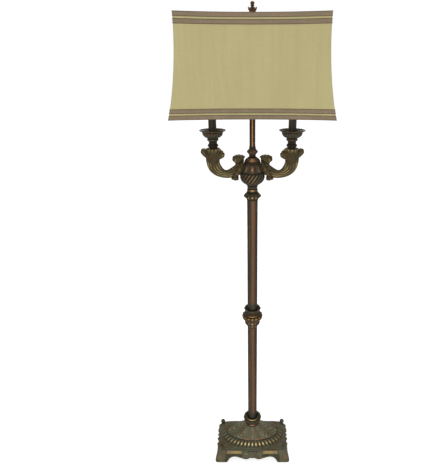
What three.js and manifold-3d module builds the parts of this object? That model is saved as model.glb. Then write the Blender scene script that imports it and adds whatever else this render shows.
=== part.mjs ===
// Floor lamp with two candle arms: cast base on four feet, two-section pole, urn, arms and a bell shade.
// Millimetres, +Z up, +X along the arms, -Y towards the front, origin on the floor below the pole.
import * as THREE from "three";
import { mergeVertices } from "three/addons/utils/BufferGeometryUtils.js";
import Module from "manifold-3d";

const wasm = await Module();
wasm.setup();

// Whole lamp, and the clearance between pieces that touch
const LAMP_HEIGHT = 1676;
const GAP = 0.3;

// Foot pads
const PAD_THICKNESS = 3;
const PAD_LENGTH = 30;
const PAD_WIDTH = 22;

// Base casting
const RIM_HALF_X = 143;
const RIM_HALF_Y = 69;
const RIM_Z = 62;
const RIM_DOME = 4;
const RIM_EDGE = 6;
const FOOT_FLARE_X = 11;
const FOOT_FLARE_Y = 14;
const FOOT_HALF_X = RIM_HALF_X + FOOT_FLARE_X;
const FOOT_HALF_Y = RIM_HALF_Y + FOOT_FLARE_Y;
const FOOT_WIDTH = 47;
const FOOT_TOE = 10;
const FOOT_TOE_INSET = 2;
const HEEL_MARGIN = 2;
const APRON_CURVE = 2;
const BASE_WALL = 7;
const SCALLOP = 3.5;
const SCALLOPS = 4;
const BOW = 6.5;
const BOW_HALF_X = 45;
const CORNER_R = 7;
const RIM_CORNER_X = 10;
const RIM_CORNER_Y = 12;
const ARCH_Z = 32;
const PENDANT_Z = 16;
const PENDANT_X = 28;
const NOTCH_Z = 23;
const KNOB_R = 8;
const KNOB_INSET_X = 12;
const KNOB_INSET_Y = 5;
const KNOB_LIFT = 5;
const GADROON_MARGIN_X = 18;
const GADROON_MARGIN_Y = 4;
const GADROON_WIDTH_X = 14;
const GADROON_WIDTH_Y = 15;
const GADROON_HALF_X = RIM_HALF_X - GADROON_MARGIN_X;
const GADROON_HALF_Y = RIM_HALF_Y - GADROON_MARGIN_Y;
const GADROON_INNER_X = GADROON_HALF_X - GADROON_WIDTH_X;
const GADROON_INNER_Y = GADROON_HALF_Y - GADROON_WIDTH_Y;
const GADROON_BULGE_X = 3;
const GADROON_BULGE_Y = 5;
const GADROON_RISE = 20;
const DOME_RISE = 74;
const DOME_WALL = 8;

// Base weight and cord bushing
const WEIGHT_MARGIN_X = 36;
const WEIGHT_MARGIN_Y = 11;
const WEIGHT_THICKNESS = 10;
const BUSHING_R = 6;
const BUSHING_FLANGE_R = 8.5;
const BUSHING_BORE_R = 3.5;
const BUSHING_LENGTH = 15;
const BUSHING_FLANGE = 2.5;
const BUSHING_PROUD = 1;
const BUSHING_DROP = 16;

// Threaded rod that clamps the column
const ROD_R = 5;
const ROD_BORE_R = 3.2;
const ROD_CLEARANCE = 0.4;
const ROD_TAIL = 2;
const NUT_R = 11;
const NUT_HEIGHT = 7;
const WASHER_R = 19;
const WASHER_THICKNESS = 2.5;

// Column, from the dome up
const POLE_R = 17.75;
const POLE_WALL = 1.6;
const POLE_LIP = 1.6;
const BASE_RING_R = 29.5;
const BASE_RING_HEIGHT = 13;
const POLE_CUP_FLARE = 16.5;
const POLE_CUP_HEIGHT = 38;
const POLE_SEAT_DEPTH = 26;
const LOWER_POLE_SHARE = 0.515;
const COUPLING_CUP_FLARE = 10;
const COUPLING_BALL_R = 37;
const COUPLING_LOWER_HEIGHT = 34;
const COUPLING_BALL_HEIGHT = 27;
const COUPLING_UPPER_HEIGHT = 28;
const COUPLING_SOCKET = 16;
const COLLAR_FLARE = 9.5;
const COLLAR_HEIGHT = 28;
const COLLAR_SOCKET = 12;
const NECK_RING_R = 17.3;
const NECK_RING_HEIGHT = 12;

// Urn
const URN_R = 39.5;
const URN_LOWER_HEIGHT = 55;
const URN_UPPER_HEIGHT = 23;
const URN_CAP_R = 26.6;
const URN_CAP_HEIGHT = 26;

// Stem
const STEM_KNOB_R = 16.7;
const STEM_KNOB_HEIGHT = 28;
const STEM_R = 9;
const STEM_WALL = 1.5;
const STEM_LIP = 1;
const STEM_SHOWS = 316.4;
const STEM_SEAT_DEPTH = 10;

// Arms
const ARM_REACH = 121.4;
const ARM_DROP = 22;
const ARM_RISE = 98;
const ARM_TOP_SHARE = 0.8;
const ARM_HALF_DEPTH = 20.5;
const ARM_WAIST_DEPTH = 13;
const ARM_MOUTH_DEPTH = 27;
const CROWN_R = 23;
const CROWN_HEIGHT = 19;
const CROWN_LEAF_DEPTH = 9;
const CALYX_LEAF_DEPTH = 12;
const CALYX_ROOT_R = 16;
const LIP_LEAF_DEPTH = 14;

// Candle cups and sleeves
const CUP_R = 40.5;
const CUP_HEIGHT = 51.5;
const CUP_FLOOR = 8;
const SLEEVE_R = 12;
const SLEEVE_WALL = 1.2;
const SLEEVE_HEIGHT = 100;

// Sockets, keys and bulbs
const SOCKET_SPACE = 0.9;
const SOCKET_POST_R = 4;
const SOCKET_BODY_HEIGHT = 34;
const SOCKET_COLLAR_HEIGHT = 24;
const BULB_CAP_R = 6;
const BULB_CAP_HEIGHT = 15;
const BULB_R = 16.5;
const BULB_HEIGHT = 80;
const BULB_WALL = 0.8;
const KEY_AXLE_R = 1.7;
const KEY_AXLE_DEPTH = 3.5;
const KEY_REACH = 9;
const KEY_HALF_WIDTH = 6;
const KEY_THICKNESS = 3;
const KEY_LIFT = 10;

// Shade
const SHADE_TOP_HALF_X = 200.5;
const SHADE_FLARE_X = 27;
const SHADE_TOP_HALF_Y = 105;
const SHADE_FLARE_Y = 20;
const SHADE_FLARE_POWER = 2.2;
const SHADE_LONG_SAG = 27;
const SHADE_SHORT_SAG = 13;
const SHADE_HEIGHT = 264;
const SHADE_WALL = 1.4;
const SHADE_LEVELS = 3;
const SHADE_LONG_STEPS = 8;
const SHADE_SHORT_STEPS = 4;
const BAND_HEIGHT = 12.2;
const BAND_SPACE = 4.3;
const BAND_THICKNESS = 1;
const WIRE_R = 1.6;
const WIRE_SIDES = 6;

// Spider, stem seat and finial
const HUB_DROP = 32;
const HUB_R = 15;
const HUB_THICKNESS = 3;
const SEAT_R = 13;
const SEAT_THICKNESS = 3;
const SEAT_PLUG = 8;
const STUD_R = 3;
const STUD_HEIGHT = 14;
const SPIDER_ARM_R = 1.7;
const SPIDER_TIP_INSET = 16;
const SPIDER_TIP_SPACE = 0.65;
const FINIAL_R = 14.6;
const FINIAL_HEIGHT = 67;
const FINIAL_BORE_DEPTH = 16;
const INSERT_WALL = 1.6;
const FINIAL_WINGS = 4;

// Smoothness
const SIDES_LARGE = 24;
const SIDES_MEDIUM = 18;
const SIDES_SMALL = 12;
const DOME_STEPS = 28;
const LONG_STEPS = 8;
const CORNER_STEPS = 3;
const KNOB_SIDES = 10;

// Materials
const bronze = new THREE.MeshStandardMaterial({ color: 0x5a5646, roughness: 0.55, metalness: 0.7 });
const copper = new THREE.MeshStandardMaterial({ color: 0x7a5138, roughness: 0.45, metalness: 0.8 });
const poleBronze = new THREE.MeshStandardMaterial({ color: 0x554436, roughness: 0.5, metalness: 0.6 });
const candle = new THREE.MeshStandardMaterial({ color: 0x3a3b34, roughness: 0.6, metalness: 0.3 });
const iron = new THREE.MeshStandardMaterial({ color: 0x3b3b3a, roughness: 0.8, metalness: 0.6 });
const steel = new THREE.MeshStandardMaterial({ color: 0xb0aa9c, roughness: 0.35, metalness: 1 });
const brass = new THREE.MeshStandardMaterial({ color: 0xb08d4a, roughness: 0.35, metalness: 1 });
const rubber = new THREE.MeshStandardMaterial({ color: 0x22201d, roughness: 0.9, metalness: 0 });
const linen = new THREE.MeshStandardMaterial({ color: 0xb4ab7e, roughness: 0.95, metalness: 0 });
const braid = new THREE.MeshStandardMaterial({ color: 0x7d745c, roughness: 0.9, metalness: 0 });
const wire = new THREE.MeshStandardMaterial({ color: 0xd8d6cf, roughness: 0.4, metalness: 0.6 });
const phenolic = new THREE.MeshStandardMaterial({ color: 0x2a2723, roughness: 0.5, metalness: 0 });
const glass = new THREE.MeshStandardMaterial({ color: 0xf2efe6, roughness: 0.1, metalness: 0 });

const lamp = new THREE.Group();

// Adds a named piece to the lamp at a place.
function place(name, geometry, material, x = 0, y = 0, z = 0) {
  const mesh = new THREE.Mesh(geometry, material);
  mesh.name = name;
  mesh.position.set(x, y, z);
  lamp.add(mesh);
  return mesh;
}

// A closed geometry as a solid that can be cut and joined.
function solidOf(geometry) {
  const plain = geometry.clone();
  plain.deleteAttribute("normal");
  plain.deleteAttribute("uv");
  const merged = mergeVertices(plain, 1e-4);
  return new wasm.Manifold(
    new wasm.Mesh({
      numProp: 3,
      vertProperties: merged.attributes.position.array,
      triVerts: new Uint32Array(merged.index.array),
    }),
  );
}

// A solid back as a geometry.
function geometryOf(solid) {
  const mesh = solid.getMesh();
  const geometry = new THREE.BufferGeometry();
  geometry.setAttribute("position", new THREE.BufferAttribute(mesh.vertProperties, 3));
  geometry.setIndex(new THREE.BufferAttribute(mesh.triVerts, 1));
  geometry.computeVertexNormals();
  return geometry;
}

// A geometry turned about Z from [radius, height] points that start and end on the axis, or close up.
function turned(points, sides) {
  const profile = points.map(([r, z]) => new THREE.Vector2(r, z));
  return new THREE.LatheGeometry(profile, sides).rotateX(Math.PI / 2);
}

// The [radius, height] points of a profile given as shares of a largest radius and a height.
function scaled(shares, radius, height) {
  return shares.map(([r, z]) => [r * radius, z * height]);
}

// The same from a near radius, at share 0, out to a far one, at share 1.
function flared(shares, near, far, height) {
  return shares.map(([r, z]) => [near + r * (far - near), z * height]);
}

// Corner radius of a polygonal hole whose flats clear a round piece.
function clear(radius, sides) {
  return (radius + GAP) / Math.cos(Math.PI / sides);
}

// A turned piece with a straight bore right through it.
function bored(points, bore, sides) {
  const low = points[0][1];
  const high = points[points.length - 1][1];
  return turned([...points, [bore, high], [bore, low], points[0]], sides);
}

// A round bar or tube along Z, from a low to a high end.
function bar(radius, low, high, sides) {
  return turned([[0, low], [radius, low], [radius, high], [0, high]], sides);
}

function tube(radius, bore, low, high, sides) {
  return bored([[radius, low], [radius, high]], bore, sides);
}

// Triangles of the skin between two rings of as many points.
function skin(index, lower, upper, count) {
  for (let i = 0; i < count; i += 1) {
    const next = (i + 1) % count;
    index.push(lower + i, lower + next, upper + next);
    index.push(lower + i, upper + next, upper + i);
  }
}

// A geometry through rings of points, with a flat end each, or with its last ring joined to its first.
function loft(rings, loop = false) {
  const count = rings[0].length;
  const positions = rings.flat();
  const index = [];
  for (let k = 0; k + 1 < rings.length; k += 1) skin(index, k * count, (k + 1) * count, count);
  if (loop) {
    skin(index, (rings.length - 1) * count, 0, count);
  } else {
    const first = positions.length;
    positions.push(centreOf(rings[0]), centreOf(rings[rings.length - 1]));
    const top = (rings.length - 1) * count;
    for (let i = 0; i < count; i += 1) {
      const next = (i + 1) % count;
      index.push(first, next, i);
      index.push(first + 1, top + i, top + next);
    }
  }
  const geometry = new THREE.BufferGeometry();
  geometry.setAttribute("position", new THREE.Float32BufferAttribute(positions.flat(), 3));
  geometry.setIndex(index);
  geometry.computeVertexNormals();
  return geometry;
}

function centreOf(ring) {
  const sum = ring.reduce((a, p) => [a[0] + p[0], a[1] + p[1], a[2] + p[2]], [0, 0, 0]);
  return sum.map((v) => v / ring.length);
}

// An upright-plane outline of [x, z] points, made as thick as twice its half depth along Y.
function plate(outline, halfDepth) {
  const shape = new THREE.Shape(outline.map(([x, z]) => new THREE.Vector2(x, z)));
  const geometry = new THREE.ExtrudeGeometry(shape, { depth: 2 * halfDepth, bevelEnabled: false });
  return geometry.rotateX(Math.PI / 2).translate(0, halfDepth, 0);
}

// An ellipse of points at one height.
function ellipse(halfX, halfY, z, steps) {
  const ring = [];
  for (let i = 0; i < steps; i += 1) {
    const a = (2 * Math.PI * i) / steps;
    ring.push([halfX * Math.cos(a), halfY * Math.sin(a), z]);
  }
  return ring;
}

// Base outline: a rectangle with rounded corners, scalloped short sides and long sides that bow out.
function baseOutline(halfX, halfY, z, scallop = 0, bow = 0, cornerX = CORNER_R, cornerY = CORNER_R) {
  const ring = [];
  const insideX = halfX - cornerX;
  const insideY = halfY - cornerY;
  const shortSteps = 4 * SCALLOPS;
  for (const [sx, sy, turn] of [[1, -1, -0.5], [1, 1, 0], [-1, 1, 0.5], [-1, -1, 1]]) {
    for (let i = 0; i < CORNER_STEPS; i += 1) {
      const a = Math.PI * (turn + (0.5 * i) / (CORNER_STEPS - 1));
      ring.push([sx * insideX + cornerX * Math.cos(a), sy * insideY + cornerY * Math.sin(a), z]);
    }
    const short = sx !== sy;
    const steps = short ? shortSteps : LONG_STEPS;
    for (let i = 1; i < steps; i += 1) {
      const t = 1 - (2 * i) / steps;
      const wave = (scallop * (1 - Math.cos(2 * Math.PI * SCALLOPS * (i / steps)))) / 2;
      const out = Math.abs(t * insideX) < BOW_HALF_X ? bow : 0;
      if (short) ring.push([sx * (halfX + wave), sy * t * insideY, z]);
      else ring.push([sx * t * insideX, sy * (halfY + out), z]);
    }
  }
  return ring;
}

// Height of pieces that stand on each other with the clearance between them.
function stacked(heights) {
  return heights.reduce((sum, height) => sum + height + GAP, -GAP);
}

// Heights of the stack, each from the one below; the two poles share what the lamp's height leaves
const BASE_BOTTOM = PAD_THICKNESS + GAP;
const TOP_PLATE_Z = RIM_Z + RIM_DOME;
const PLATE_UNDERSIDE = RIM_Z - BASE_WALL;
const DOME_TOP = TOP_PLATE_Z + DOME_RISE;
const BASE_RING_Z = DOME_TOP + GAP;
const POLE_CUP_Z = BASE_RING_Z + BASE_RING_HEIGHT + GAP;
const POLE_CUP_TOP = POLE_CUP_Z + POLE_CUP_HEIGHT;
const LOWER_POLE_Z = POLE_CUP_TOP - POLE_SEAT_DEPTH + GAP;
const COUPLING_HEIGHT = stacked([COUPLING_LOWER_HEIGHT, COUPLING_BALL_HEIGHT, COUPLING_UPPER_HEIGHT]);
const URN_PARTS = [
  COLLAR_HEIGHT, NECK_RING_HEIGHT, URN_LOWER_HEIGHT, URN_UPPER_HEIGHT, URN_CAP_HEIGHT, STEM_KNOB_HEIGHT,
];
const FINIAL_PARTS = [STEM_SHOWS, SEAT_THICKNESS, HUB_THICKNESS, FINIAL_HEIGHT];
const HEAD_HEIGHT = stacked(URN_PARTS) + stacked(FINIAL_PARTS);
const POLES_SHOW = LAMP_HEIGHT - POLE_CUP_TOP - COUPLING_HEIGHT - HEAD_HEIGHT;
const LOWER_POLE_SHOWS = POLES_SHOW * LOWER_POLE_SHARE;
const UPPER_POLE_SHOWS = POLES_SHOW - LOWER_POLE_SHOWS;
const COUPLING_Z = POLE_CUP_TOP + LOWER_POLE_SHOWS;
const COUPLING_BALL_Z = COUPLING_Z + COUPLING_LOWER_HEIGHT + GAP;
const COUPLING_UPPER_Z = COUPLING_BALL_Z + COUPLING_BALL_HEIGHT + GAP;
const COUPLING_TOP = COUPLING_UPPER_Z + COUPLING_UPPER_HEIGHT;
const COLLAR_Z = COUPLING_TOP + UPPER_POLE_SHOWS;
const NECK_RING_Z = COLLAR_Z + COLLAR_HEIGHT + GAP;
const URN_Z = NECK_RING_Z + NECK_RING_HEIGHT + GAP;
const URN_WAIST_Z = URN_Z + URN_LOWER_HEIGHT;
const URN_UPPER_Z = URN_WAIST_Z + GAP;
const URN_CAP_Z = URN_UPPER_Z + URN_UPPER_HEIGHT + GAP;
const STEM_KNOB_Z = URN_CAP_Z + URN_CAP_HEIGHT + GAP;
const STEM_KNOB_TOP = STEM_KNOB_Z + STEM_KNOB_HEIGHT;
const STEM_Z = STEM_KNOB_TOP - STEM_SEAT_DEPTH + GAP;
const STEM_TOP = STEM_KNOB_TOP + STEM_SHOWS;
const SEAT_Z = STEM_TOP + GAP;
const HUB_Z = SEAT_Z + SEAT_THICKNESS + GAP;
const HUB_TOP = HUB_Z + HUB_THICKNESS;
const FINIAL_Z = HUB_TOP + GAP;
const SHADE_TOP = HUB_TOP + HUB_DROP;

// Rod holes in everything that the rod passes through
const ROD_HOLE_R = ROD_R + ROD_CLEARANCE;
const POLE_SOCKET_R = clear(POLE_R, SIDES_MEDIUM);
const POLE_LIP_R = POLE_SOCKET_R + POLE_LIP;
const STEM_SOCKET_R = clear(STEM_R, SIDES_MEDIUM);
const STEM_LIP_R = STEM_SOCKET_R + STEM_LIP;

// Base casting: apron and feet, top plate, gadroon step and dome, hollow below
const WAIST_HALF_X = (FOOT_HALF_X + RIM_HALF_X) / 2 - APRON_CURVE;
const WAIST_HALF_Y = (FOOT_HALF_Y + RIM_HALF_Y - APRON_CURVE) / 2;
const WAIST_Z = RIM_Z / 2;
const RIM_LOW_Z = RIM_Z - RIM_EDGE;

function rimOutline(z) {
  return baseOutline(RIM_HALF_X, RIM_HALF_Y, z, SCALLOP, BOW, RIM_CORNER_X, RIM_CORNER_Y);
}

function apron() {
  const toeZ = BASE_BOTTOM + FOOT_TOE;
  const rings = [
    baseOutline(FOOT_HALF_X, FOOT_HALF_Y, BASE_BOTTOM),
    baseOutline(FOOT_HALF_X - FOOT_TOE_INSET, FOOT_HALF_Y - FOOT_TOE_INSET / 2, toeZ),
    baseOutline(WAIST_HALF_X, WAIST_HALF_Y, WAIST_Z, SCALLOP),
    rimOutline(RIM_LOW_Z),
    rimOutline(RIM_Z),
    baseOutline(GADROON_HALF_X, GADROON_HALF_Y, TOP_PLATE_Z),
  ];
  return solidOf(loft(rings));
}

// Dome above the gadroons: shares of the inner gadroon ellipse or of the ring above, and of the rise left
const DOME_LOW = { x: 0.62, y: 0.85, rise: 0.36 };
const DOME_HIGH = { x: 1.3, y: 1.12, rise: 0.76 };
const HOLLOW_NECK_SHARE = 0.85;

function dome() {
  const foot = TOP_PLATE_Z - BASE_WALL;
  const shoulder = TOP_PLATE_Z + GADROON_RISE;
  const left = DOME_RISE - GADROON_RISE;
  const bulgeX = GADROON_HALF_X - GADROON_BULGE_X;
  const bulgeY = GADROON_HALF_Y - GADROON_BULGE_Y;
  const lowZ = shoulder + left * DOME_LOW.rise;
  const highZ = shoulder + left * DOME_HIGH.rise;
  const rings = [
    ellipse(GADROON_HALF_X, GADROON_HALF_Y, foot, DOME_STEPS),
    ellipse(GADROON_HALF_X, GADROON_HALF_Y, TOP_PLATE_Z, DOME_STEPS),
    ellipse(bulgeX, bulgeY, TOP_PLATE_Z + GADROON_RISE / 2, DOME_STEPS),
    ellipse(GADROON_INNER_X, GADROON_INNER_Y, shoulder, DOME_STEPS),
    ellipse(GADROON_INNER_X * DOME_LOW.x, GADROON_INNER_Y * DOME_LOW.y, lowZ, DOME_STEPS),
    ellipse(BASE_RING_R * DOME_HIGH.x, BASE_RING_R * DOME_HIGH.y, highZ, DOME_STEPS),
    ellipse(BASE_RING_R, BASE_RING_R, DOME_TOP, DOME_STEPS),
  ];
  return solidOf(loft(rings));
}

function domeHollow() {
  const shoulder = TOP_PLATE_Z + GADROON_RISE;
  const rings = [
    ellipse(GADROON_INNER_X - DOME_WALL, GADROON_INNER_Y - DOME_WALL, PLATE_UNDERSIDE - 1, DOME_STEPS),
    ellipse(GADROON_INNER_X - DOME_WALL, GADROON_INNER_Y - DOME_WALL, shoulder - DOME_WALL, DOME_STEPS),
    ellipse(BASE_RING_R, BASE_RING_R * HOLLOW_NECK_SHARE, shoulder + DOME_WALL, DOME_STEPS),
    ellipse(BASE_RING_R - DOME_WALL, BASE_RING_R - DOME_WALL, DOME_TOP - DOME_WALL, DOME_STEPS),
  ];
  return solidOf(loft(rings));
}

function apronHollow() {
  const rings = [
    baseOutline(FOOT_HALF_X - BASE_WALL, FOOT_HALF_Y - BASE_WALL, 0),
    baseOutline(RIM_HALF_X - BASE_WALL, RIM_HALF_Y - BASE_WALL, PLATE_UNDERSIDE),
  ];
  return solidOf(loft(rings));
}

// Shares of the way from the foot to the pendant, and of the arch's height
const LONG_ARCH = [[0, 0], [0.06, 0.4], [0.18, 0.82], [0.4, 1], [0.58, 0.87]];
// Shares of the pendant's place, and of the way from its tip up to the notch
const PENDANT = [[1.31, 0.43], [1, 0], [0.62, 0.29], [0.4, 1]];
// Shares of the short opening's half width, and of the arch's height
const SHORT_ARCH = [[1, 0], [0.87, 0.6], [0.58, 0.9]];
const SHORT_ARCH_MIDDLE = 0.75;
const SHORT_FOOT_SHARE = 0.75;

// The arch below the front and back apron, with its two pendants and centre notch.
function longArch() {
  const inner = FOOT_HALF_X - FOOT_WIDTH;
  const half = [
    ...LONG_ARCH.map(([along, up]) => [inner - along * (inner - PENDANT_X), up * ARCH_Z]),
    ...PENDANT.map(([out, up]) => [out * PENDANT_X, PENDANT_Z + up * (NOTCH_Z - PENDANT_Z)]),
  ];
  const other = half.map(([x, z]) => [-x, z]).reverse();
  return solidOf(plate([...half, ...other], 2 * FOOT_HALF_Y));
}

function shortArch() {
  const inner = FOOT_HALF_Y - FOOT_WIDTH * SHORT_FOOT_SHARE;
  const half = SHORT_ARCH.map(([out, up]) => [out * inner, up * ARCH_Z]);
  const other = half.map(([x, z]) => [-x, z]).reverse();
  const outline = [...half, [0, ARCH_Z * SHORT_ARCH_MIDDLE], ...other];
  return solidOf(plate(outline, 2 * FOOT_HALF_X).rotateZ(Math.PI / 2));
}

const FOOT_BLOCK_X = FOOT_HALF_X - BASE_WALL - PAD_LENGTH / 2;
const FOOT_BLOCK_Y = FOOT_HALF_Y - BASE_WALL - PAD_WIDTH / 2;

// Solid heel in each corner, which carries its pad.
function footHeels() {
  const heels = [];
  for (const sx of [-1, 1]) {
    for (const sy of [-1, 1]) {
      const length = PAD_LENGTH + 2 * HEEL_MARGIN;
      const box = new THREE.BoxGeometry(length, PAD_WIDTH + 2 * HEEL_MARGIN, ARCH_Z / 2);
      heels.push(solidOf(box.translate(sx * FOOT_BLOCK_X, sy * FOOT_BLOCK_Y, BASE_BOTTOM + ARCH_Z / 4)));
    }
  }
  return heels;
}

function cornerKnobs() {
  const knobs = [];
  for (const sx of [-1, 1]) {
    for (const sy of [-1, 1]) {
      const ball = new THREE.SphereGeometry(KNOB_R, KNOB_SIDES, KNOB_SIDES / 2 + 1);
      const x = sx * (RIM_HALF_X - KNOB_INSET_X);
      knobs.push(solidOf(ball.translate(x, sy * (RIM_HALF_Y - KNOB_INSET_Y), RIM_Z + KNOB_LIFT)));
    }
  }
  return knobs;
}

const BUSHING_Z = RIM_Z - BUSHING_DROP;
const BUSHING_SHARE = (BUSHING_Z - WAIST_Z) / (RIM_LOW_Z - WAIST_Z);
const BACK_FACE_Y = WAIST_HALF_Y + (RIM_HALF_Y + BOW - WAIST_HALF_Y) * BUSHING_SHARE;

function baseCasting() {
  let body = apron().subtract(apronHollow());
  for (const heel of footHeels()) body = body.add(heel);
  body = body.subtract(longArch()).subtract(shortArch());
  body = body.add(dome()).subtract(domeHollow());
  for (const knob of cornerKnobs()) body = body.add(knob);
  body = body.subtract(solidOf(bar(ROD_HOLE_R, 0, DOME_TOP + 1, SIDES_SMALL)));
  const reach = 2 * BUSHING_LENGTH;
  const hole = bar(BUSHING_R + GAP, -reach, reach, SIDES_SMALL).rotateX(Math.PI / 2);
  return body.subtract(solidOf(hole.translate(0, BACK_FACE_Y, BUSHING_Z)));
}
place("base_casting", geometryOf(baseCasting()), bronze);

// Foot pads
for (const [side, sx] of [["left", -1], ["right", 1]]) {
  for (const [end, sy] of [["front", -1], ["back", 1]]) {
    const pad = new THREE.BoxGeometry(PAD_LENGTH, PAD_WIDTH, PAD_THICKNESS);
    place(`foot_pad_${end}_${side}`, pad, rubber, sx * FOOT_BLOCK_X, sy * FOOT_BLOCK_Y, PAD_THICKNESS / 2);
  }
}

// Cord bushing through the back of the apron
function cordBushing() {
  const half = BUSHING_LENGTH / 2;
  const outline = [
    [BUSHING_R, -half],
    [BUSHING_R, half],
    [BUSHING_FLANGE_R, half],
    [BUSHING_FLANGE_R, half + BUSHING_FLANGE],
  ];
  return bored(outline, BUSHING_BORE_R, SIDES_SMALL).rotateX(-Math.PI / 2);
}
const BUSHING_Y = BACK_FACE_Y - BUSHING_LENGTH / 2 + BUSHING_PROUD;
place("cord_bushing", cordBushing(), rubber, 0, BUSHING_Y, BUSHING_Z);

// Weight, washer, nut and rod
const WEIGHT_TOP = PLATE_UNDERSIDE - GAP;
const WEIGHT_Z = WEIGHT_TOP - WEIGHT_THICKNESS;
const WASHER_Z = WEIGHT_Z - GAP - WASHER_THICKNESS;
const NUT_Z = WASHER_Z - GAP - NUT_HEIGHT;
const ROD_Z = NUT_Z - ROD_TAIL;
const ROD_TOP = STEM_KNOB_Z + STEM_KNOB_HEIGHT - STEM_SEAT_DEPTH - GAP;

function baseWeight() {
  const halfX = RIM_HALF_X - BASE_WALL - WEIGHT_MARGIN_X;
  const halfY = RIM_HALF_Y - BASE_WALL - WEIGHT_MARGIN_Y;
  const slab = loft([
    ellipse(halfX, halfY, WEIGHT_Z, DOME_STEPS),
    ellipse(halfX, halfY, WEIGHT_TOP, DOME_STEPS),
  ]);
  return solidOf(slab).subtract(solidOf(bar(ROD_HOLE_R, 0, DOME_TOP, SIDES_SMALL)));
}

function rodNut() {
  const hexagon = solidOf(bar(NUT_R, 0, NUT_HEIGHT, 6));
  return hexagon.subtract(solidOf(bar(ROD_R + GAP, -1, NUT_HEIGHT + 1, SIDES_SMALL)));
}
place("base_weight", geometryOf(baseWeight()), iron);
place("rod_washer", tube(WASHER_R, ROD_HOLE_R, 0, WASHER_THICKNESS, SIDES_SMALL), steel, 0, 0, WASHER_Z);
place("rod_nut", geometryOf(rodNut()), steel, 0, 0, NUT_Z);
place("tie_rod", tube(ROD_R, ROD_BORE_R, ROD_Z, ROD_TOP, SIDES_SMALL), steel);

// Base ring and pole cup
const BASE_RING_SHARES = [[0.94, 0], [1, 0.35], [1, 0.7], [0.92, 1]];
const baseRing = scaled(BASE_RING_SHARES, BASE_RING_R, BASE_RING_HEIGHT);
place("base_ring", bored(baseRing, ROD_HOLE_R, SIDES_LARGE), copper, 0, 0, BASE_RING_Z);

function poleCup() {
  const shares = [
    [0.6, 0], [0.6, 0.08], [0.8, 0.16], [1, 0.35], [1, 0.5], [0.85, 0.62], [0.6, 0.72], [0.3, 0.84],
    [0.08, 1],
  ];
  const outer = flared(shares, POLE_LIP_R, POLE_R + POLE_CUP_FLARE, POLE_CUP_HEIGHT);
  const floor = POLE_CUP_HEIGHT - POLE_SEAT_DEPTH;
  const inner = [
    [POLE_SOCKET_R, POLE_CUP_HEIGHT],
    [POLE_SOCKET_R, floor],
    [ROD_HOLE_R, floor],
    [ROD_HOLE_R, 0],
  ];
  return turned([...outer, ...inner, outer[0]], SIDES_LARGE);
}
place("pole_cup", poleCup(), bronze, 0, 0, POLE_CUP_Z);

// Poles
const LOWER_POLE_TOP = COUPLING_Z + COUPLING_SOCKET - GAP;
const UPPER_POLE_Z = COUPLING_TOP - COUPLING_SOCKET + GAP;
const UPPER_POLE_TOP = COLLAR_Z + COLLAR_SOCKET - GAP;
const POLE_BORE_R = POLE_R - POLE_WALL;
place("lower_pole", tube(POLE_R, POLE_BORE_R, LOWER_POLE_Z, LOWER_POLE_TOP, SIDES_LARGE), poleBronze);
place("upper_pole", tube(POLE_R, POLE_BORE_R, UPPER_POLE_Z, UPPER_POLE_TOP, SIDES_LARGE), poleBronze);

// Coupling between the poles: two cups with a beaded ball between them
function couplingLower() {
  const shares = [[0, 0], [0.16, 0.2], [0.9, 0.5], [1, 0.62], [0.72, 0.74], [0.35, 1]];
  const outer = flared(shares, POLE_LIP_R, POLE_R + COUPLING_CUP_FLARE, COUPLING_LOWER_HEIGHT);
  const inner = [
    [ROD_HOLE_R, COUPLING_LOWER_HEIGHT],
    [ROD_HOLE_R, COUPLING_SOCKET],
    [POLE_SOCKET_R, COUPLING_SOCKET],
    [POLE_SOCKET_R, 0],
  ];
  return turned([...outer, ...inner, outer[0]], SIDES_MEDIUM);
}

function couplingUpper() {
  const shares = [[0.2, 0], [0.2, 0.2], [0.8, 0.45], [1, 0.6], [0.92, 0.72], [0.12, 0.9], [0, 1]];
  const outer = flared(shares, POLE_LIP_R, POLE_R + COUPLING_CUP_FLARE, COUPLING_UPPER_HEIGHT);
  const floor = COUPLING_UPPER_HEIGHT - COUPLING_SOCKET;
  const inner = [
    [POLE_SOCKET_R, COUPLING_UPPER_HEIGHT],
    [POLE_SOCKET_R, floor],
    [ROD_HOLE_R, floor],
    [ROD_HOLE_R, 0],
  ];
  return turned([...outer, ...inner, outer[0]], SIDES_MEDIUM);
}
const BALL_SHARES = [[0.68, 0], [0.82, 0.12], [0.96, 0.3], [1, 0.46], [0.96, 0.64], [0.8, 0.86], [0.66, 1]];
const ball = scaled(BALL_SHARES, COUPLING_BALL_R, COUPLING_BALL_HEIGHT);
place("coupling_lower_cup", couplingLower(), bronze, 0, 0, COUPLING_Z);
place("coupling_ball", bored(ball, ROD_HOLE_R, SIDES_MEDIUM), copper, 0, 0, COUPLING_BALL_Z);
place("coupling_upper_cup", couplingUpper(), bronze, 0, 0, COUPLING_UPPER_Z);

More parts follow.
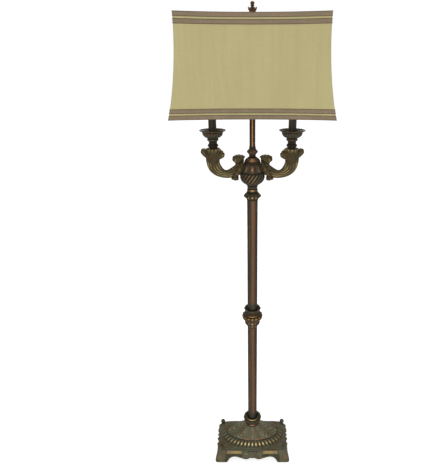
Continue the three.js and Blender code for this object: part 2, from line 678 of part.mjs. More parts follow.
// Beaded collar and neck ring below the urn
function beadedCollar() {
  const shares = [[0, 0], [0.3, 0.25], [0.86, 0.4], [1, 0.5], [1, 0.72], [0.55, 0.86], [0.2, 1]];
  const outer = flared(shares, POLE_LIP_R, POLE_R + COLLAR_FLARE, COLLAR_HEIGHT);
  const inner = [
    [ROD_HOLE_R, COLLAR_HEIGHT],
    [ROD_HOLE_R, COLLAR_SOCKET],
    [POLE_SOCKET_R, COLLAR_SOCKET],
    [POLE_SOCKET_R, 0],
  ];
  return turned([...outer, ...inner, outer[0]], SIDES_MEDIUM);
}
const NECK_SHARES = [[0.87, 0], [0.98, 0.25], [1, 0.5], [0.98, 0.75], [0.82, 1]];
const neckRing = scaled(NECK_SHARES, NECK_RING_R, NECK_RING_HEIGHT);
place("beaded_collar", beadedCollar(), bronze, 0, 0, COLLAR_Z);
place("urn_neck_ring", bored(neckRing, ROD_HOLE_R, SIDES_MEDIUM), copper, 0, 0, NECK_RING_Z);

// Urn: gadrooned lower bowl, panelled upper bowl and smooth cap
const URN_LOWER_SHARES = [
  [0.39, 0], [0.46, 0.127], [0.59, 0.253], [0.82, 0.366], [0.95, 0.493], [1, 0.642], [1, 0.745],
  [0.985, 0.885], [0.95, 1],
];
const URN_UPPER_SHARES = [[0.945, 0], [0.92, 0.2], [0.8, 0.68], [0.7, 1]];
const URN_CAP_SHARES = [[1, 0], [1, 0.16], [0.93, 0.36], [0.82, 0.54], [0.6, 0.74], [0.42, 0.88], [0.38, 1]];
const urnLower = scaled(URN_LOWER_SHARES, URN_R, URN_LOWER_HEIGHT);
const urnUpper = scaled(URN_UPPER_SHARES, URN_R, URN_UPPER_HEIGHT);
const urnCap = scaled(URN_CAP_SHARES, URN_CAP_R, URN_CAP_HEIGHT);
place("urn_lower", bored(urnLower, ROD_HOLE_R, SIDES_LARGE), bronze, 0, 0, URN_Z);
place("urn_upper", bored(urnUpper, ROD_HOLE_R, SIDES_LARGE), bronze, 0, 0, URN_UPPER_Z);
place("urn_cap", bored(urnCap, ROD_HOLE_R, SIDES_MEDIUM), copper, 0, 0, URN_CAP_Z);

// Stem knob and centre stem
function stemKnob() {
  const shares = [[0, 0], [0.22, 0.14], [1, 0.42], [0.3, 0.66], [0, 0.8], [0, 1]];
  const outer = flared(shares, STEM_LIP_R, STEM_KNOB_R, STEM_KNOB_HEIGHT);
  const floor = STEM_KNOB_HEIGHT - STEM_SEAT_DEPTH;
  const inner = [
    [STEM_SOCKET_R, STEM_KNOB_HEIGHT],
    [STEM_SOCKET_R, floor],
    [ROD_HOLE_R, floor],
    [ROD_HOLE_R, 0],
  ];
  return turned([...outer, ...inner, outer[0]], SIDES_MEDIUM);
}
place("stem_knob", stemKnob(), bronze, 0, 0, STEM_KNOB_Z);
place("centre_stem", tube(STEM_R, STEM_R - STEM_WALL, STEM_Z, STEM_TOP, SIDES_MEDIUM), poleBronze);

// Stem seat: a disc on the stem with a plug below and the threaded stud above
function stemSeat() {
  const plug = STEM_R - STEM_WALL - GAP;
  return turned(
    [
      [0, -SEAT_PLUG],
      [plug, -SEAT_PLUG],
      [plug, 0],
      [SEAT_R, 0],
      [SEAT_R, SEAT_THICKNESS],
      [STUD_R, SEAT_THICKNESS],
      [STUD_R, SEAT_THICKNESS + HUB_THICKNESS + STUD_HEIGHT],
      [0, SEAT_THICKNESS + HUB_THICKNESS + STUD_HEIGHT],
    ],
    SIDES_SMALL,
  );
}
place("stem_seat", stemSeat(), brass, 0, 0, SEAT_Z);

// Arms: a horn through ellipses whose ends are [reach share, rise share] points of its outer and inner edge.
const ARM_Z = URN_WAIST_Z - ARM_DROP;
const HORN_OUTER = [
  [0.546, 0.04], [0.548, 0.022], [0.556, 0.01], [0.6, 0.004], [0.684, 0], [0.832, 0.026],
  [0.98, 0.102], [1.104, 0.235], [1.17, 0.408], [1.194, 0.592], [1.186, ARM_TOP_SHARE],
];
const HORN_INNER = [
  [0.222, 0.633], [0.33, 0.54], [0.44, 0.43], [0.56, 0.32], [0.64, 0.268], [0.7, 0.262],
  [0.74, 0.285], [0.785, 0.345], [0.822, 0.44], [0.85, 0.602], [0.848, ARM_TOP_SHARE],
];
const MOUTH_STEPS = 3;

function armPoint([reach, rise]) {
  return [reach * ARM_REACH, rise * ARM_RISE];
}

// Half depth along the horn: wide at the mouth, narrow below, full at the crown.
function hornDepth(i) {
  const last = HORN_OUTER.length - 1;
  const toWaist = i / MOUTH_STEPS;
  if (toWaist <= 1) return ARM_MOUTH_DEPTH + (ARM_WAIST_DEPTH - ARM_MOUTH_DEPTH) * toWaist;
  const along = (i - MOUTH_STEPS) / (last - MOUTH_STEPS);
  return ARM_WAIST_DEPTH + (ARM_HALF_DEPTH - ARM_WAIST_DEPTH) * Math.min(1, along * 1.4);
}

// An ellipse in the plane that holds an outer point, an inner point and the Y direction.
function tilted(outer, inner, halfDepth, steps) {
  const ring = [];
  const cx = (outer[0] + inner[0]) / 2;
  const cz = (outer[1] + inner[1]) / 2;
  for (let i = 0; i < steps; i += 1) {
    const a = (2 * Math.PI * i) / steps;
    const along = Math.cos(a) / 2;
    ring.push([
      cx + (outer[0] - inner[0]) * along,
      halfDepth * Math.sin(a),
      cz + (outer[1] - inner[1]) * along,
    ]);
  }
  return ring;
}

function horn() {
  const rings = HORN_OUTER.map((outer, i) =>
    tilted(armPoint(outer), armPoint(HORN_INNER[i]), hornDepth(i), SIDES_SMALL),
  );
  return solidOf(loft(rings));
}

// Leaf that curls over the top of the horn's mouth.
const MOUTH_LEAF = [
  [0.19, 0.68], [0.26, 0.61], [0.34, 0.5], [0.44, 0.4], [0.45, 0.52],
  [0.5, 0.575], [0.52, 0.63], [0.49, 0.71], [0.38, 0.76], [0.25, 0.745],
];

function mouthLip() {
  return solidOf(plate(MOUTH_LEAF.map(armPoint), LIP_LEAF_DEPTH));
}

// Calyx between the horn and the urn, with the leaf that curls below it; its root lies inside the urn.
const CALYX_LEAF = [
  [0.54, 0.02], [0.56, -0.02], [0.5, -0.06], [0.42, -0.08], [0.365, -0.05],
  [0.36, 0.02], [0.4, 0.1], [0.47, 0.1],
];
const ROOT_RISE = 0.3;
const ROOT_LOW = { out: 0.85, drop: 1.1 };
const ROOT_HIGH = 0.6;

// Outline of the urn's turned pieces, moved out by a clearance.
function urnEnvelope(space) {
  const out = ([r, z], base) => [r + space, base + z];
  return [
    [0, URN_Z],
    ...urnLower.map((point) => out(point, URN_Z)),
    ...urnUpper.map((point) => out(point, URN_UPPER_Z)),
    ...urnCap.map((point) => out(point, URN_CAP_Z)),
    [0, URN_CAP_Z + URN_CAP_HEIGHT],
  ];
}

function calyx() {
  const mouthOuter = armPoint(HORN_OUTER[0]);
  const mouthInner = armPoint(HORN_INNER[0]);
  const length = Math.hypot(mouthOuter[0] - mouthInner[0], mouthOuter[1] - mouthInner[1]);
  const towardsX = ((mouthOuter[1] - mouthInner[1]) / length) * 2 * GAP;
  const towardsZ = ((mouthInner[0] - mouthOuter[0]) / length) * 2 * GAP;
  const shift = ([x, z]) => [x + towardsX, z + towardsZ];
  const rootZ = ROOT_RISE * ARM_RISE;
  const rootLow = [URN_R * ROOT_LOW.out, rootZ - CALYX_ROOT_R * ROOT_LOW.drop];
  const rootHigh = [URN_R * ROOT_HIGH, rootZ + CALYX_ROOT_R];
  const rings = [
    tilted([0, rootZ - CALYX_ROOT_R], [0, rootZ + CALYX_ROOT_R], CALYX_ROOT_R, SIDES_SMALL),
    tilted(rootLow, rootHigh, CALYX_ROOT_R, SIDES_SMALL),
    tilted(shift(mouthOuter), shift(mouthInner), ARM_MOUTH_DEPTH, SIDES_SMALL),
  ];
  const urn = solidOf(turned(urnEnvelope(2 * GAP), SIDES_LARGE).translate(0, 0, -ARM_Z));
  const wide = URN_R + GAP;
  const behind = new THREE.BoxGeometry(2 * wide, 4 * wide, 8 * wide).translate(-wide, 0, 0);
  return solidOf(loft(rings))
    .add(solidOf(plate(CALYX_LEAF.map(armPoint), CALYX_LEAF_DEPTH)))
    .subtract(urn)
    .subtract(solidOf(behind));
}

// Leaf crown on the arm's top, with a curl outwards and a lower one inwards.
const CROWN_Z = ARM_TOP_SHARE * ARM_RISE + GAP;
const CROWN_FLARE = [[0, 0], [0.89, 0], [1, 0.5], [0.9, 0.8], [0.6, 1], [0, 1]];
const CROWN_OUTWARDS = [
  [0.609, 0.105], [1.065, 0.026], [1.304, -0.105], [1.565, 0.053], [1.696, 0.368],
  [1.565, 0.684], [1.261, 0.842], [0.957, 0.737], [0.609, 0.895],
];
const CROWN_INWARDS = [
  [-0.609, 0.105], [-0.913, 0.032], [-0.978, -0.211], [-1.043, -0.579], [-1.217, -0.711], [-1.435, -0.579],
  [-1.522, -0.263], [-1.413, 0.053], [-1.13, 0.368], [-0.783, 0.579], [-0.522, 0.895],
];

function crown() {
  let body = solidOf(turned(scaled(CROWN_FLARE, CROWN_R, CROWN_HEIGHT), SIDES_MEDIUM));
  for (const leaf of [CROWN_OUTWARDS, CROWN_INWARDS]) {
    body = body.add(solidOf(plate(scaled(leaf, CROWN_R, CROWN_HEIGHT), CROWN_LEAF_DEPTH)));
  }
  return body;
}

// Candle cup: knops and a fluted bowl with a dished rim
function candleCup() {
  const shares = [
    [0.32, 0], [0.4, 0.06], [0.4, 0.12], [0.31, 0.24], [0.34, 0.36], [0.455, 0.44], [0.45, 0.52],
    [0.41, 0.55], [0.63, 0.74], [0.76, 0.84], [0.9, 0.91], [1, 0.96], [1, 1],
  ];
  const outer = scaled(shares, CUP_R, CUP_HEIGHT);
  const floor = CUP_HEIGHT - CUP_FLOOR;
  const dish = [[CUP_R * 0.95, CUP_HEIGHT], [CUP_R * 0.5, floor], [0, floor]];
  return turned([[0, 0], ...outer, ...dish], SIDES_MEDIUM);
}
const SOCKET_R = SLEEVE_R - SLEEVE_WALL - SOCKET_SPACE;
const SOCKET_COLLAR_R = SLEEVE_R;
const CUP_Z = CROWN_Z + CROWN_HEIGHT + GAP;
const CUP_FLOOR_Z = ARM_Z + CUP_Z + CUP_HEIGHT - CUP_FLOOR;
const SLEEVE_Z = CUP_FLOOR_Z + GAP;
const SLEEVE_TOP = SLEEVE_Z + SLEEVE_HEIGHT;
const SOCKET_COLLAR_Z = SLEEVE_TOP + GAP;
const SOCKET_TOP = SOCKET_COLLAR_Z + SOCKET_COLLAR_HEIGHT;
const KEY_Z = SOCKET_COLLAR_Z + KEY_LIFT;

// Socket: a post from the cup, a body inside the sleeve and a collar that caps it
function socket() {
  const bore = BULB_CAP_R + GAP;
  const body = turned(
    [
      [0, SLEEVE_Z],
      [SOCKET_POST_R, SLEEVE_Z],
      [SOCKET_POST_R, SLEEVE_TOP - SOCKET_BODY_HEIGHT],
      [SOCKET_R, SLEEVE_TOP - SOCKET_BODY_HEIGHT],
      [SOCKET_R, SOCKET_COLLAR_Z],
      [SOCKET_COLLAR_R, SOCKET_COLLAR_Z],
      [SOCKET_COLLAR_R, SOCKET_TOP],
      [bore, SOCKET_TOP],
      [bore, SOCKET_TOP - BULB_CAP_HEIGHT],
      [0, SOCKET_TOP - BULB_CAP_HEIGHT],
    ],
    SIDES_SMALL,
  );
  const hole = bar(KEY_AXLE_R + GAP, 0, KEY_AXLE_DEPTH + GAP, 12).rotateX(-Math.PI / 2);
  return solidOf(body).subtract(solidOf(hole.translate(0, -SOCKET_COLLAR_R, KEY_Z)));
}

// Turn key: an axle into the socket's collar and a flat thumb piece
function socketKey() {
  const axle = bar(KEY_AXLE_R, -KEY_AXLE_DEPTH, KEY_REACH, 12).rotateX(Math.PI / 2);
  const thumb = new THREE.BoxGeometry(2 * KEY_HALF_WIDTH, KEY_REACH * 0.7, KEY_THICKNESS);
  return solidOf(axle).add(solidOf(thumb.translate(0, -KEY_REACH * 0.75, 0)));
}

// Bulb: a candle-shaped glass shell on a screw cap
function bulbGlass() {
  const shares = [[0.4, 0], [0.42, 0.08], [0.86, 0.26], [1, 0.42], [0.94, 0.58], [0.66, 0.8], [0.3, 0.93]];
  const outer = scaled(shares, BULB_R, BULB_HEIGHT);
  const inner = outer.map(([r, z]) => [Math.max(r - BULB_WALL, BULB_WALL), z]).reverse();
  const tip = [[0, BULB_HEIGHT], [0, BULB_HEIGHT * 0.95 - BULB_WALL]];
  return turned([...outer, ...tip, ...inner, outer[0]], SIDES_MEDIUM);
}

function bulbCap() {
  const low = SOCKET_TOP - BULB_CAP_HEIGHT + GAP;
  return turned(
    [[0, low], [BULB_CAP_R, low], [BULB_CAP_R, SOCKET_TOP + 2], [0, SOCKET_TOP + 2]],
    SIDES_SMALL,
  );
}

const armSolids = [
  ["arm", horn().add(mouthLip()), bronze],
  ["arm_calyx", calyx(), bronze],
];
for (const [side, sx] of [["left", -1], ["right", 1]]) {
  const x = sx * ARM_REACH;
  for (const [name, solid, material] of armSolids) {
    place(`${name}_${side}`, geometryOf(solid), material, 0, 0, ARM_Z).scale.x = sx;
  }
  place(`arm_crown_${side}`, geometryOf(crown()), bronze, x, 0, ARM_Z + CROWN_Z).scale.x = sx;
  place(`candle_cup_${side}`, candleCup(), bronze, x, 0, ARM_Z + CUP_Z);
  const sleeve = tube(SLEEVE_R, SLEEVE_R - SLEEVE_WALL, SLEEVE_Z, SLEEVE_TOP, SIDES_MEDIUM);
  place(`candle_sleeve_${side}`, sleeve, candle, x);
  place(`socket_${side}`, geometryOf(socket()), phenolic, x);
  place(`socket_key_${side}`, geometryOf(socketKey()), phenolic, x, -SOCKET_COLLAR_R, KEY_Z);
  place(`bulb_cap_${side}`, bulbCap(), brass, x);
  place(`bulb_glass_${side}`, bulbGlass(), glass, x, 0, SOCKET_TOP + 2 + GAP);
}

// Shade outline at a share of the way down, moved out by an offset: long and short sides both sag inwards.
function shadeRing(down, offset) {
  const flare = down ** SHADE_FLARE_POWER;
  const halfX = SHADE_TOP_HALF_X + SHADE_FLARE_X * flare + offset;
  const halfY = SHADE_TOP_HALF_Y + SHADE_FLARE_Y * flare + offset;
  const z = SHADE_TOP - down * SHADE_HEIGHT;
  const ring = [];
  for (const [sx, sy] of [[1, -1], [1, 1], [-1, 1], [-1, -1]]) {
    const alongY = sx === sy ? 0 : 1;
    const steps = alongY ? SHADE_SHORT_STEPS : SHADE_LONG_STEPS;
    for (let i = 0; i < steps; i += 1) {
      const t = 1 - (2 * i) / steps;
      const sag = 1 - t * t;
      if (alongY) ring.push([sx * (halfX - SHADE_SHORT_SAG * sag), sy * t * halfY, z]);
      else ring.push([sx * t * halfX, sy * (halfY - SHADE_LONG_SAG * sag), z]);
    }
  }
  return ring;
}

// The band edges lie on the fabric's own levels, so each band follows the fabric.
const BAND_SHARE = BAND_HEIGHT / SHADE_HEIGHT;
const SECOND_SHARE = (BAND_HEIGHT + BAND_SPACE) / SHADE_HEIGHT;
const BAND_EDGES = [0, BAND_SHARE, SECOND_SHARE, SECOND_SHARE + BAND_SHARE];

function shadeLevels() {
  const between = 1 - 2 * BAND_EDGES[3];
  const middle = [];
  for (let i = 1; i < SHADE_LEVELS; i += 1) middle.push(BAND_EDGES[3] + (between * i) / SHADE_LEVELS);
  return [...BAND_EDGES, ...middle, ...BAND_EDGES.map((share) => 1 - share).reverse()];
}

function shadeFabric() {
  const levels = shadeLevels();
  const inner = levels.map((down) => shadeRing(down, -SHADE_WALL));
  const outer = levels.map((down) => shadeRing(down, 0)).reverse();
  return loft([...outer, ...inner], true);
}
place("shade_fabric", shadeFabric(), linen);

// A band round the shade between two shares of the way down.
function shadeBand(top, bottom) {
  const near = GAP;
  const far = GAP + BAND_THICKNESS;
  const outer = [shadeRing(bottom, far), shadeRing(top, far)];
  return loft([...outer, shadeRing(top, near), shadeRing(bottom, near)], true);
}
place("band_top_outer", shadeBand(0, BAND_EDGES[1]), braid);
place("band_top_inner", shadeBand(BAND_EDGES[2], BAND_EDGES[3]), braid);
place("band_bottom_inner", shadeBand(1 - BAND_EDGES[3], 1 - BAND_EDGES[2]), braid);
place("band_bottom_outer", shadeBand(1 - BAND_EDGES[1], 1), braid);

// A wire ring inside the fabric, its section a polygon round the ring's line.
function shadeWire(down) {
  const rings = [];
  const middle = -SHADE_WALL - GAP - WIRE_R;
  for (let i = 0; i < WIRE_SIDES; i += 1) {
    const a = (2 * Math.PI * i) / WIRE_SIDES;
    const ring = shadeRing(down, middle + WIRE_R * Math.cos(a));
    rings.push(ring.map(([x, y, z]) => [x, y, z + WIRE_R * Math.sin(a)]));
  }
  return loft(rings, true);
}
const WIRE_SHARE = (WIRE_R * 2) / SHADE_HEIGHT;
place("shade_wire_top", shadeWire(WIRE_SHARE), wire);
place("shade_wire_bottom", shadeWire(1 - WIRE_SHARE), wire);

// Spider: a hub between the seat and the finial, and four arms up to the top wire near its corners
function spider() {
  let body = solidOf(tube(HUB_R, STUD_R + GAP, HUB_Z, HUB_TOP, SIDES_SMALL));
  const tipX = SHADE_TOP_HALF_X - SPIDER_TIP_INSET;
  const sagThere = SHADE_LONG_SAG * (1 - (tipX / SHADE_TOP_HALF_X) ** 2);
  const tipY = SHADE_TOP_HALF_Y - sagThere - SHADE_WALL - GAP - 2 * WIRE_R - SPIDER_TIP_SPACE;
  const middleZ = (HUB_Z + HUB_TOP) / 2;
  const tipZ = SHADE_TOP - 2 * WIRE_R;
  const section = new THREE.Shape();
  section.absarc(0, 0, SPIDER_ARM_R, 0, 2 * Math.PI);
  for (const sx of [-1, 1]) {
    for (const sy of [-1, 1]) {
      const reach = 0.7 * HUB_R;
      const away = new THREE.Vector3(tipX, tipY, 0).normalize();
      const path = new THREE.CatmullRomCurve3([
        new THREE.Vector3(sx * away.x * reach, sy * away.y * reach, middleZ),
        new THREE.Vector3(sx * away.x * reach * 3, sy * away.y * reach * 3, middleZ + 1),
        new THREE.Vector3(sx * tipX * 0.8, sy * tipY * 0.8, middleZ + (tipZ - middleZ) * 0.55),
        new THREE.Vector3(sx * tipX, sy * tipY, tipZ),
      ]);
      const arm = new THREE.ExtrudeGeometry(section, {
        steps: 6,
        curveSegments: 4,
        bevelEnabled: false,
        extrudePath: path,
      });
      body = body.add(solidOf(arm));
    }
  }
  return body.subtract(solidOf(bar(STUD_R + GAP, HUB_Z - 5, HUB_TOP + 5, SIDES_SMALL)));
}
place("spider", geometryOf(spider()), wire);

const INSERT_R = clear(STUD_R, SIDES_SMALL) + INSERT_WALL;
const FINIAL_BORE_R = clear(INSERT_R, SIDES_SMALL);

// Finial: a carved pear on a foot, with four leaf tips below a ball, bored for its threaded insert
function finial() {
  const shares = [
    [0.65, 0], [0.65, 0.06], [0.5, 0.1], [0.5, 0.16], [0.62, 0.19], [0.93, 0.25], [1, 0.31], [0.95, 0.42],
    [0.72, 0.55], [0.62, 0.64], [0.6, 0.7], [0.57, 0.76], [0.3, 0.78], [0.3, 0.8], [0.42, 0.83],
    [0.28, 0.865], [0.37, 0.9], [0.4, 0.94], [0.24, 0.985],
  ];
  const outer = scaled(shares, FINIAL_R, FINIAL_HEIGHT);
  let body = solidOf(turned([[0, 0], ...outer, [0, FINIAL_HEIGHT]], SIDES_SMALL));
  const wing = [[0.4, 0.68], [0.75, 0.66], [1.01, 0.72], [0.97, 0.78], [0.75, 0.74], [0.4, 0.76]];
  const tip = scaled(wing, FINIAL_R, FINIAL_HEIGHT);
  for (let i = 0; i < FINIAL_WINGS; i += 1) {
    const turn = (2 * Math.PI * i) / FINIAL_WINGS;
    body = body.add(solidOf(plate(tip, FINIAL_R * 0.2).rotateZ(turn)));
  }
  return body.subtract(solidOf(bar(FINIAL_BORE_R, -1, FINIAL_BORE_DEPTH, SIDES_SMALL)));
}
place("finial", geometryOf(finial()), copper, 0, 0, FINIAL_Z);

const insert = tube(INSERT_R, INSERT_R - INSERT_WALL, 0, FINIAL_BORE_DEPTH - GAP, SIDES_SMALL);
place("finial_insert", insert, brass, 0, 0, FINIAL_Z);

export default lamp;
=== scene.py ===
# Floor lamp with two candle arms: camera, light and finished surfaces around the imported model.
import math

import bpy
import numpy as np
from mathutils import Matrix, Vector


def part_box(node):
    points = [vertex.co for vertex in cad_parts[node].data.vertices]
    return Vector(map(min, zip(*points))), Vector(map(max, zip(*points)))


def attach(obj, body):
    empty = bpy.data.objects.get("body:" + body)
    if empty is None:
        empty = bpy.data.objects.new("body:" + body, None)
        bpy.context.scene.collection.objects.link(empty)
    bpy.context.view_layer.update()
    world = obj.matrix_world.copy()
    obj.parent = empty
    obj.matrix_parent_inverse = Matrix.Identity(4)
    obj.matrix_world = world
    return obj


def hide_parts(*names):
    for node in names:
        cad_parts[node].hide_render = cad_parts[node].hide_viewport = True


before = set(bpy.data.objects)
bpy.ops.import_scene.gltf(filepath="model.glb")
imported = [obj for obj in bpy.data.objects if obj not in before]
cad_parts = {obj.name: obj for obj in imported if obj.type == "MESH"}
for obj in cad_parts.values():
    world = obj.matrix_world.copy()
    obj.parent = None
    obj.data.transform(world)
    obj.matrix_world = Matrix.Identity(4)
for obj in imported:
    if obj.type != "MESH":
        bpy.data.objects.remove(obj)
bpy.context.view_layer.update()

MM = 0.001
TURN = 2 * math.pi
FRONT = -math.pi / 2
SIDES = {"left": -1, "right": 1}
QUARTERS = ((-1, -1), (-1, 1), (1, -1), (1, 1))

# The photograph's camera: image size and focal length in pixels, place in metres
IMAGE_HEIGHT = 465
FOCAL_PIXELS = 392.4
SENSOR = 36.0
CAMERA_PLACE = (0.0, -1.2212, 1.5034)
CAMERA_PITCH = math.radians(22.5)
AXIS_OFFSET_PIXELS = 41.9
CLIP_START, CLIP_END = 0.05, 60


def add_object(name, data):
    thing = bpy.data.objects.new(name, data)
    bpy.context.scene.collection.objects.link(thing)
    return thing


def make_camera():
    data = bpy.data.cameras.new("photo_camera")
    data.sensor_width = SENSOR
    data.lens = SENSOR * FOCAL_PIXELS / IMAGE_HEIGHT
    data.shift_x = -AXIS_OFFSET_PIXELS / IMAGE_HEIGHT
    data.clip_start, data.clip_end = CLIP_START, CLIP_END
    camera = add_object("photo_camera", data)
    camera.location = CAMERA_PLACE
    camera.rotation_euler = (math.pi / 2 - CAMERA_PITCH, 0, 0)
    bpy.context.scene.camera = camera


make_camera()


# Colours and node trees
def linear(*tone):
    """A linear colour with alpha from sRGB values of 0 to 255."""
    shares = [value / 255 for value in tone]
    return (*(s / 12.92 if s <= 0.04045 else ((s + 0.055) / 1.055) ** 2.4 for s in shares), 1.0)


class Tree:
    """A node tree, its colour so far, and short ways to add nodes."""

    def __init__(self, owner, kind="OutputMaterial"):
        self.owner = owner
        owner.use_nodes = True
        self.nodes = owner.node_tree.nodes
        self.nodes.clear()
        self.output = self.add(kind)
        self.colour = None

    def feed(self, target, value):
        """Sets an input to a number or colour, or joins it to an output."""
        if isinstance(value, bpy.types.NodeSocket):
            self.owner.node_tree.links.new(value, target)
        else:
            target.default_value = value

    def add(self, kind, inputs=(), **values):
        node = self.nodes.new("ShaderNode" + kind)
        for key, value in values.items():
            setattr(node, key, value)
        for key, value in dict(inputs).items():
            self.feed(node.inputs[key], value)
        return node

    def position(self, scale=(1, 1, 1)):
        place = self.add("TexCoord").outputs["Object"]
        return self.add("Mapping", {"Scale": scale, "Vector": place}).outputs["Vector"]

    def noise(self, size, detail, scale=(1, 1, 1), rough=0.55):
        """Noise with features of about that size in metres."""
        inputs = {"Scale": 1 / size, "Detail": detail, "Roughness": rough, "Vector": self.position(scale)}
        return self.add("TexNoise", inputs).outputs["Fac"]

    def ramp(self, value, low, high, start=0.0, end=1.0):
        inputs = {"Value": value, "From Min": low, "From Max": high, "To Min": start, "To Max": end}
        return self.add("MapRange", inputs, interpolation_type="SMOOTHSTEP").outputs["Result"]

    def maths(self, kind, first, second):
        return self.add("Math", {0: first, 1: second}, operation=kind).outputs[0]

    def plus(self, first, second):
        return self.maths("ADD", first, second)

    def times(self, first, second):
        return self.maths("MULTIPLY", first, second)

    def blend(self, share, first, second):
        return self.add("Mix", {0: share, 6: first, 7: second}, data_type="RGBA").outputs[2]

    def attribute(self, name):
        return self.add("Attribute", attribute_name=name).outputs["Fac"]

    def paint(self, tone, share, *limits):
        """Lays a tone or an output over the colour, by a share or by its ramp between limits."""
        if limits:
            share = self.ramp(share, *limits)
        top = tone if isinstance(tone, bpy.types.NodeSocket) else linear(*tone)
        self.colour = self.blend(share, self.colour, top)

    def shade(self, height, depth, strength, **values):
        """The shader with a bump of the height, and inputs named with underscores for spaces."""
        bump = self.add("Bump", {"Strength": strength, "Distance": depth, "Height": height})
        inputs = {key.replace("_", " "): value for key, value in values.items()}
        inputs |= {"Base Color": self.colour, "Normal": bump.outputs["Normal"]}
        self.feed(self.output.inputs["Surface"], self.add("BsdfPrincipled", inputs).outputs["BSDF"])
        return self.owner


def start(name, tone):
    tree = Tree(bpy.data.materials.new(name))
    tree.colour = linear(*tone)
    return tree


# Materials
SPECULAR = 0.08
DARK_TINT = (0.3, 0.27, 0.22, 1)
# GOLD and CREAM are laid over cast metal for gilding and for painted highlights; CREAM mostly tops the
# painted highlights. ROSE is a copper tint, and in places a painted highlight.
GOLD = (156, 130, 76)
CREAM = (240, 224, 178)
ROSE = (156, 108, 78)


def metal(tree, metallic, grain, smoothest, roughest, height, depth, strength):
    rough = tree.ramp(grain, 0.3, 0.7, smoothest, roughest)
    return tree.shade(height, depth, strength, Metallic=metallic, Roughness=rough,
                      Specular_IOR_Level=SPECULAR, Specular_Tint=DARK_TINT)


def aged_metal(name, dark, body, second, patina, ridge, patina_share=0.5, rough=(0.4, 0.6)):
    """Cast metal: dark hollows, patina and worn ridges by lift, gold or rose tints by the other attribute,
    and through both, painted highlights at the front and back with painted shade beside them.
    """
    tree = start(name, body)
    lift = tree.attribute("lift")
    tint_and_highlight = tree.attribute("tint_and_highlight")
    fine = tree.noise(0.006, 4)
    tree.paint(second, tree.noise(0.028, 3), 0.4, 0.62)
    tree.paint(patina, tree.times(tree.ramp(tree.noise(0.016, 4), 0.5, 0.66), patina_share))
    tree.paint(dark, tree.plus(lift, tree.times(fine, 0.25)), 0.12, 0.6, 1.0, 0.0)
    # Ridge colour where the lift is high: wear on raised relief, and painted highlights where the lift is
    # raised at the front and back.
    wear_and_highlight = tree.plus(lift, tree.times(tree.maths("SUBTRACT", fine, 0.5), 0.7))
    tree.paint(ridge, wear_and_highlight, 0.62, 1.0)
    patchy = tree.ramp(fine, 0.3, 0.6, 0.55, 1.0)
    # Gold to cream above 0 and rose below 0: gilt and copper tints, and painted highlights on many pieces.
    gold = tree.blend(tree.ramp(tint_and_highlight, 0.5, 1.0), linear(*GOLD), linear(*CREAM))
    tree.paint(gold, tree.times(tree.ramp(tint_and_highlight, 0.0, 0.6), patchy))
    tree.paint(ROSE, tree.times(tree.ramp(tint_and_highlight, 0.0, -1.0), patchy))
    height = tree.plus(tree.times(fine, 0.7), tree.times(tree.noise(0.0012, 2), 0.3))
    return metal(tree, 0.14, fine, *rough, height, 0.0006, 0.6)


def pole_metal():
    """Long copper and dark streaks, painted shade at the sides where the lift is low, a painted copper
    highlight down the front and back, and grey at the foot.
    """
    tree = start("pole_bronze", (60, 56, 46))
    bands = tree.noise(0.008, 3, (1, 1, 0.02))
    clouds = tree.noise(0.06, 3, (1, 1, 0.5))
    fine = tree.noise(0.0016, 3, (1, 1, 0.05))
    tint_and_highlight = tree.attribute("tint_and_highlight")
    tree.paint((84, 66, 52), tree.noise(0.012, 4, (1, 1, 0.035)), 0.4, 0.6)
    tree.paint((122, 86, 58), tree.times(tree.ramp(bands, 0.52, 0.68), tree.ramp(clouds, 0.46, 0.64)))
    tree.paint((62, 62, 53), tree.times(tree.ramp(bands, 0.48, 0.34), tree.ramp(clouds, 0.6, 0.42)))
    # Painted copper highlight down the front and back, grey at the foot, then painted shade at the sides.
    tree.paint((112, 76, 52), tint_and_highlight, 0.0, 1.0, 0.0, 0.8)
    tree.paint((60, 58, 50), tint_and_highlight, 0.0, -1.0)
    tree.paint((31, 31, 24), tree.attribute("lift"), 0.1, 0.8, 0.95, 0.0)
    return metal(tree, 0.14, fine, 0.34, 0.48, fine, 0.0003, 0.4)


def stem_metal():
    """A painted copper highlight at the front and back where the lift is high, dark elsewhere, in long
    streaks.
    """
    tree = start("stem_copper", (46, 36, 25))
    streaks = tree.ramp(tree.noise(0.009, 3, (1, 1, 0.04)), 0.36, 0.64)
    fine = tree.noise(0.0015, 3, (1, 1, 0.06))
    painted_gleam = tree.blend(streaks, linear(98, 68, 42), linear(150, 108, 68))
    tree.paint(painted_gleam, tree.attribute("lift"), 0.35, 0.95)
    return metal(tree, 0.2, fine, 0.3, 0.42, fine, 0.0002, 0.35)


def candle_finish():
    """Dark paint with faint upright wear."""
    tree = start("candle_sleeve", (52, 52, 46))
    grain = tree.noise(0.0014, 3)
    tree.paint((78, 64, 52), tree.noise(0.01, 4, (1, 1, 0.2)), 0.4, 0.66)
    return metal(tree, 0.1, grain, 0.42, 0.6, grain, 0.0003, 0.5)


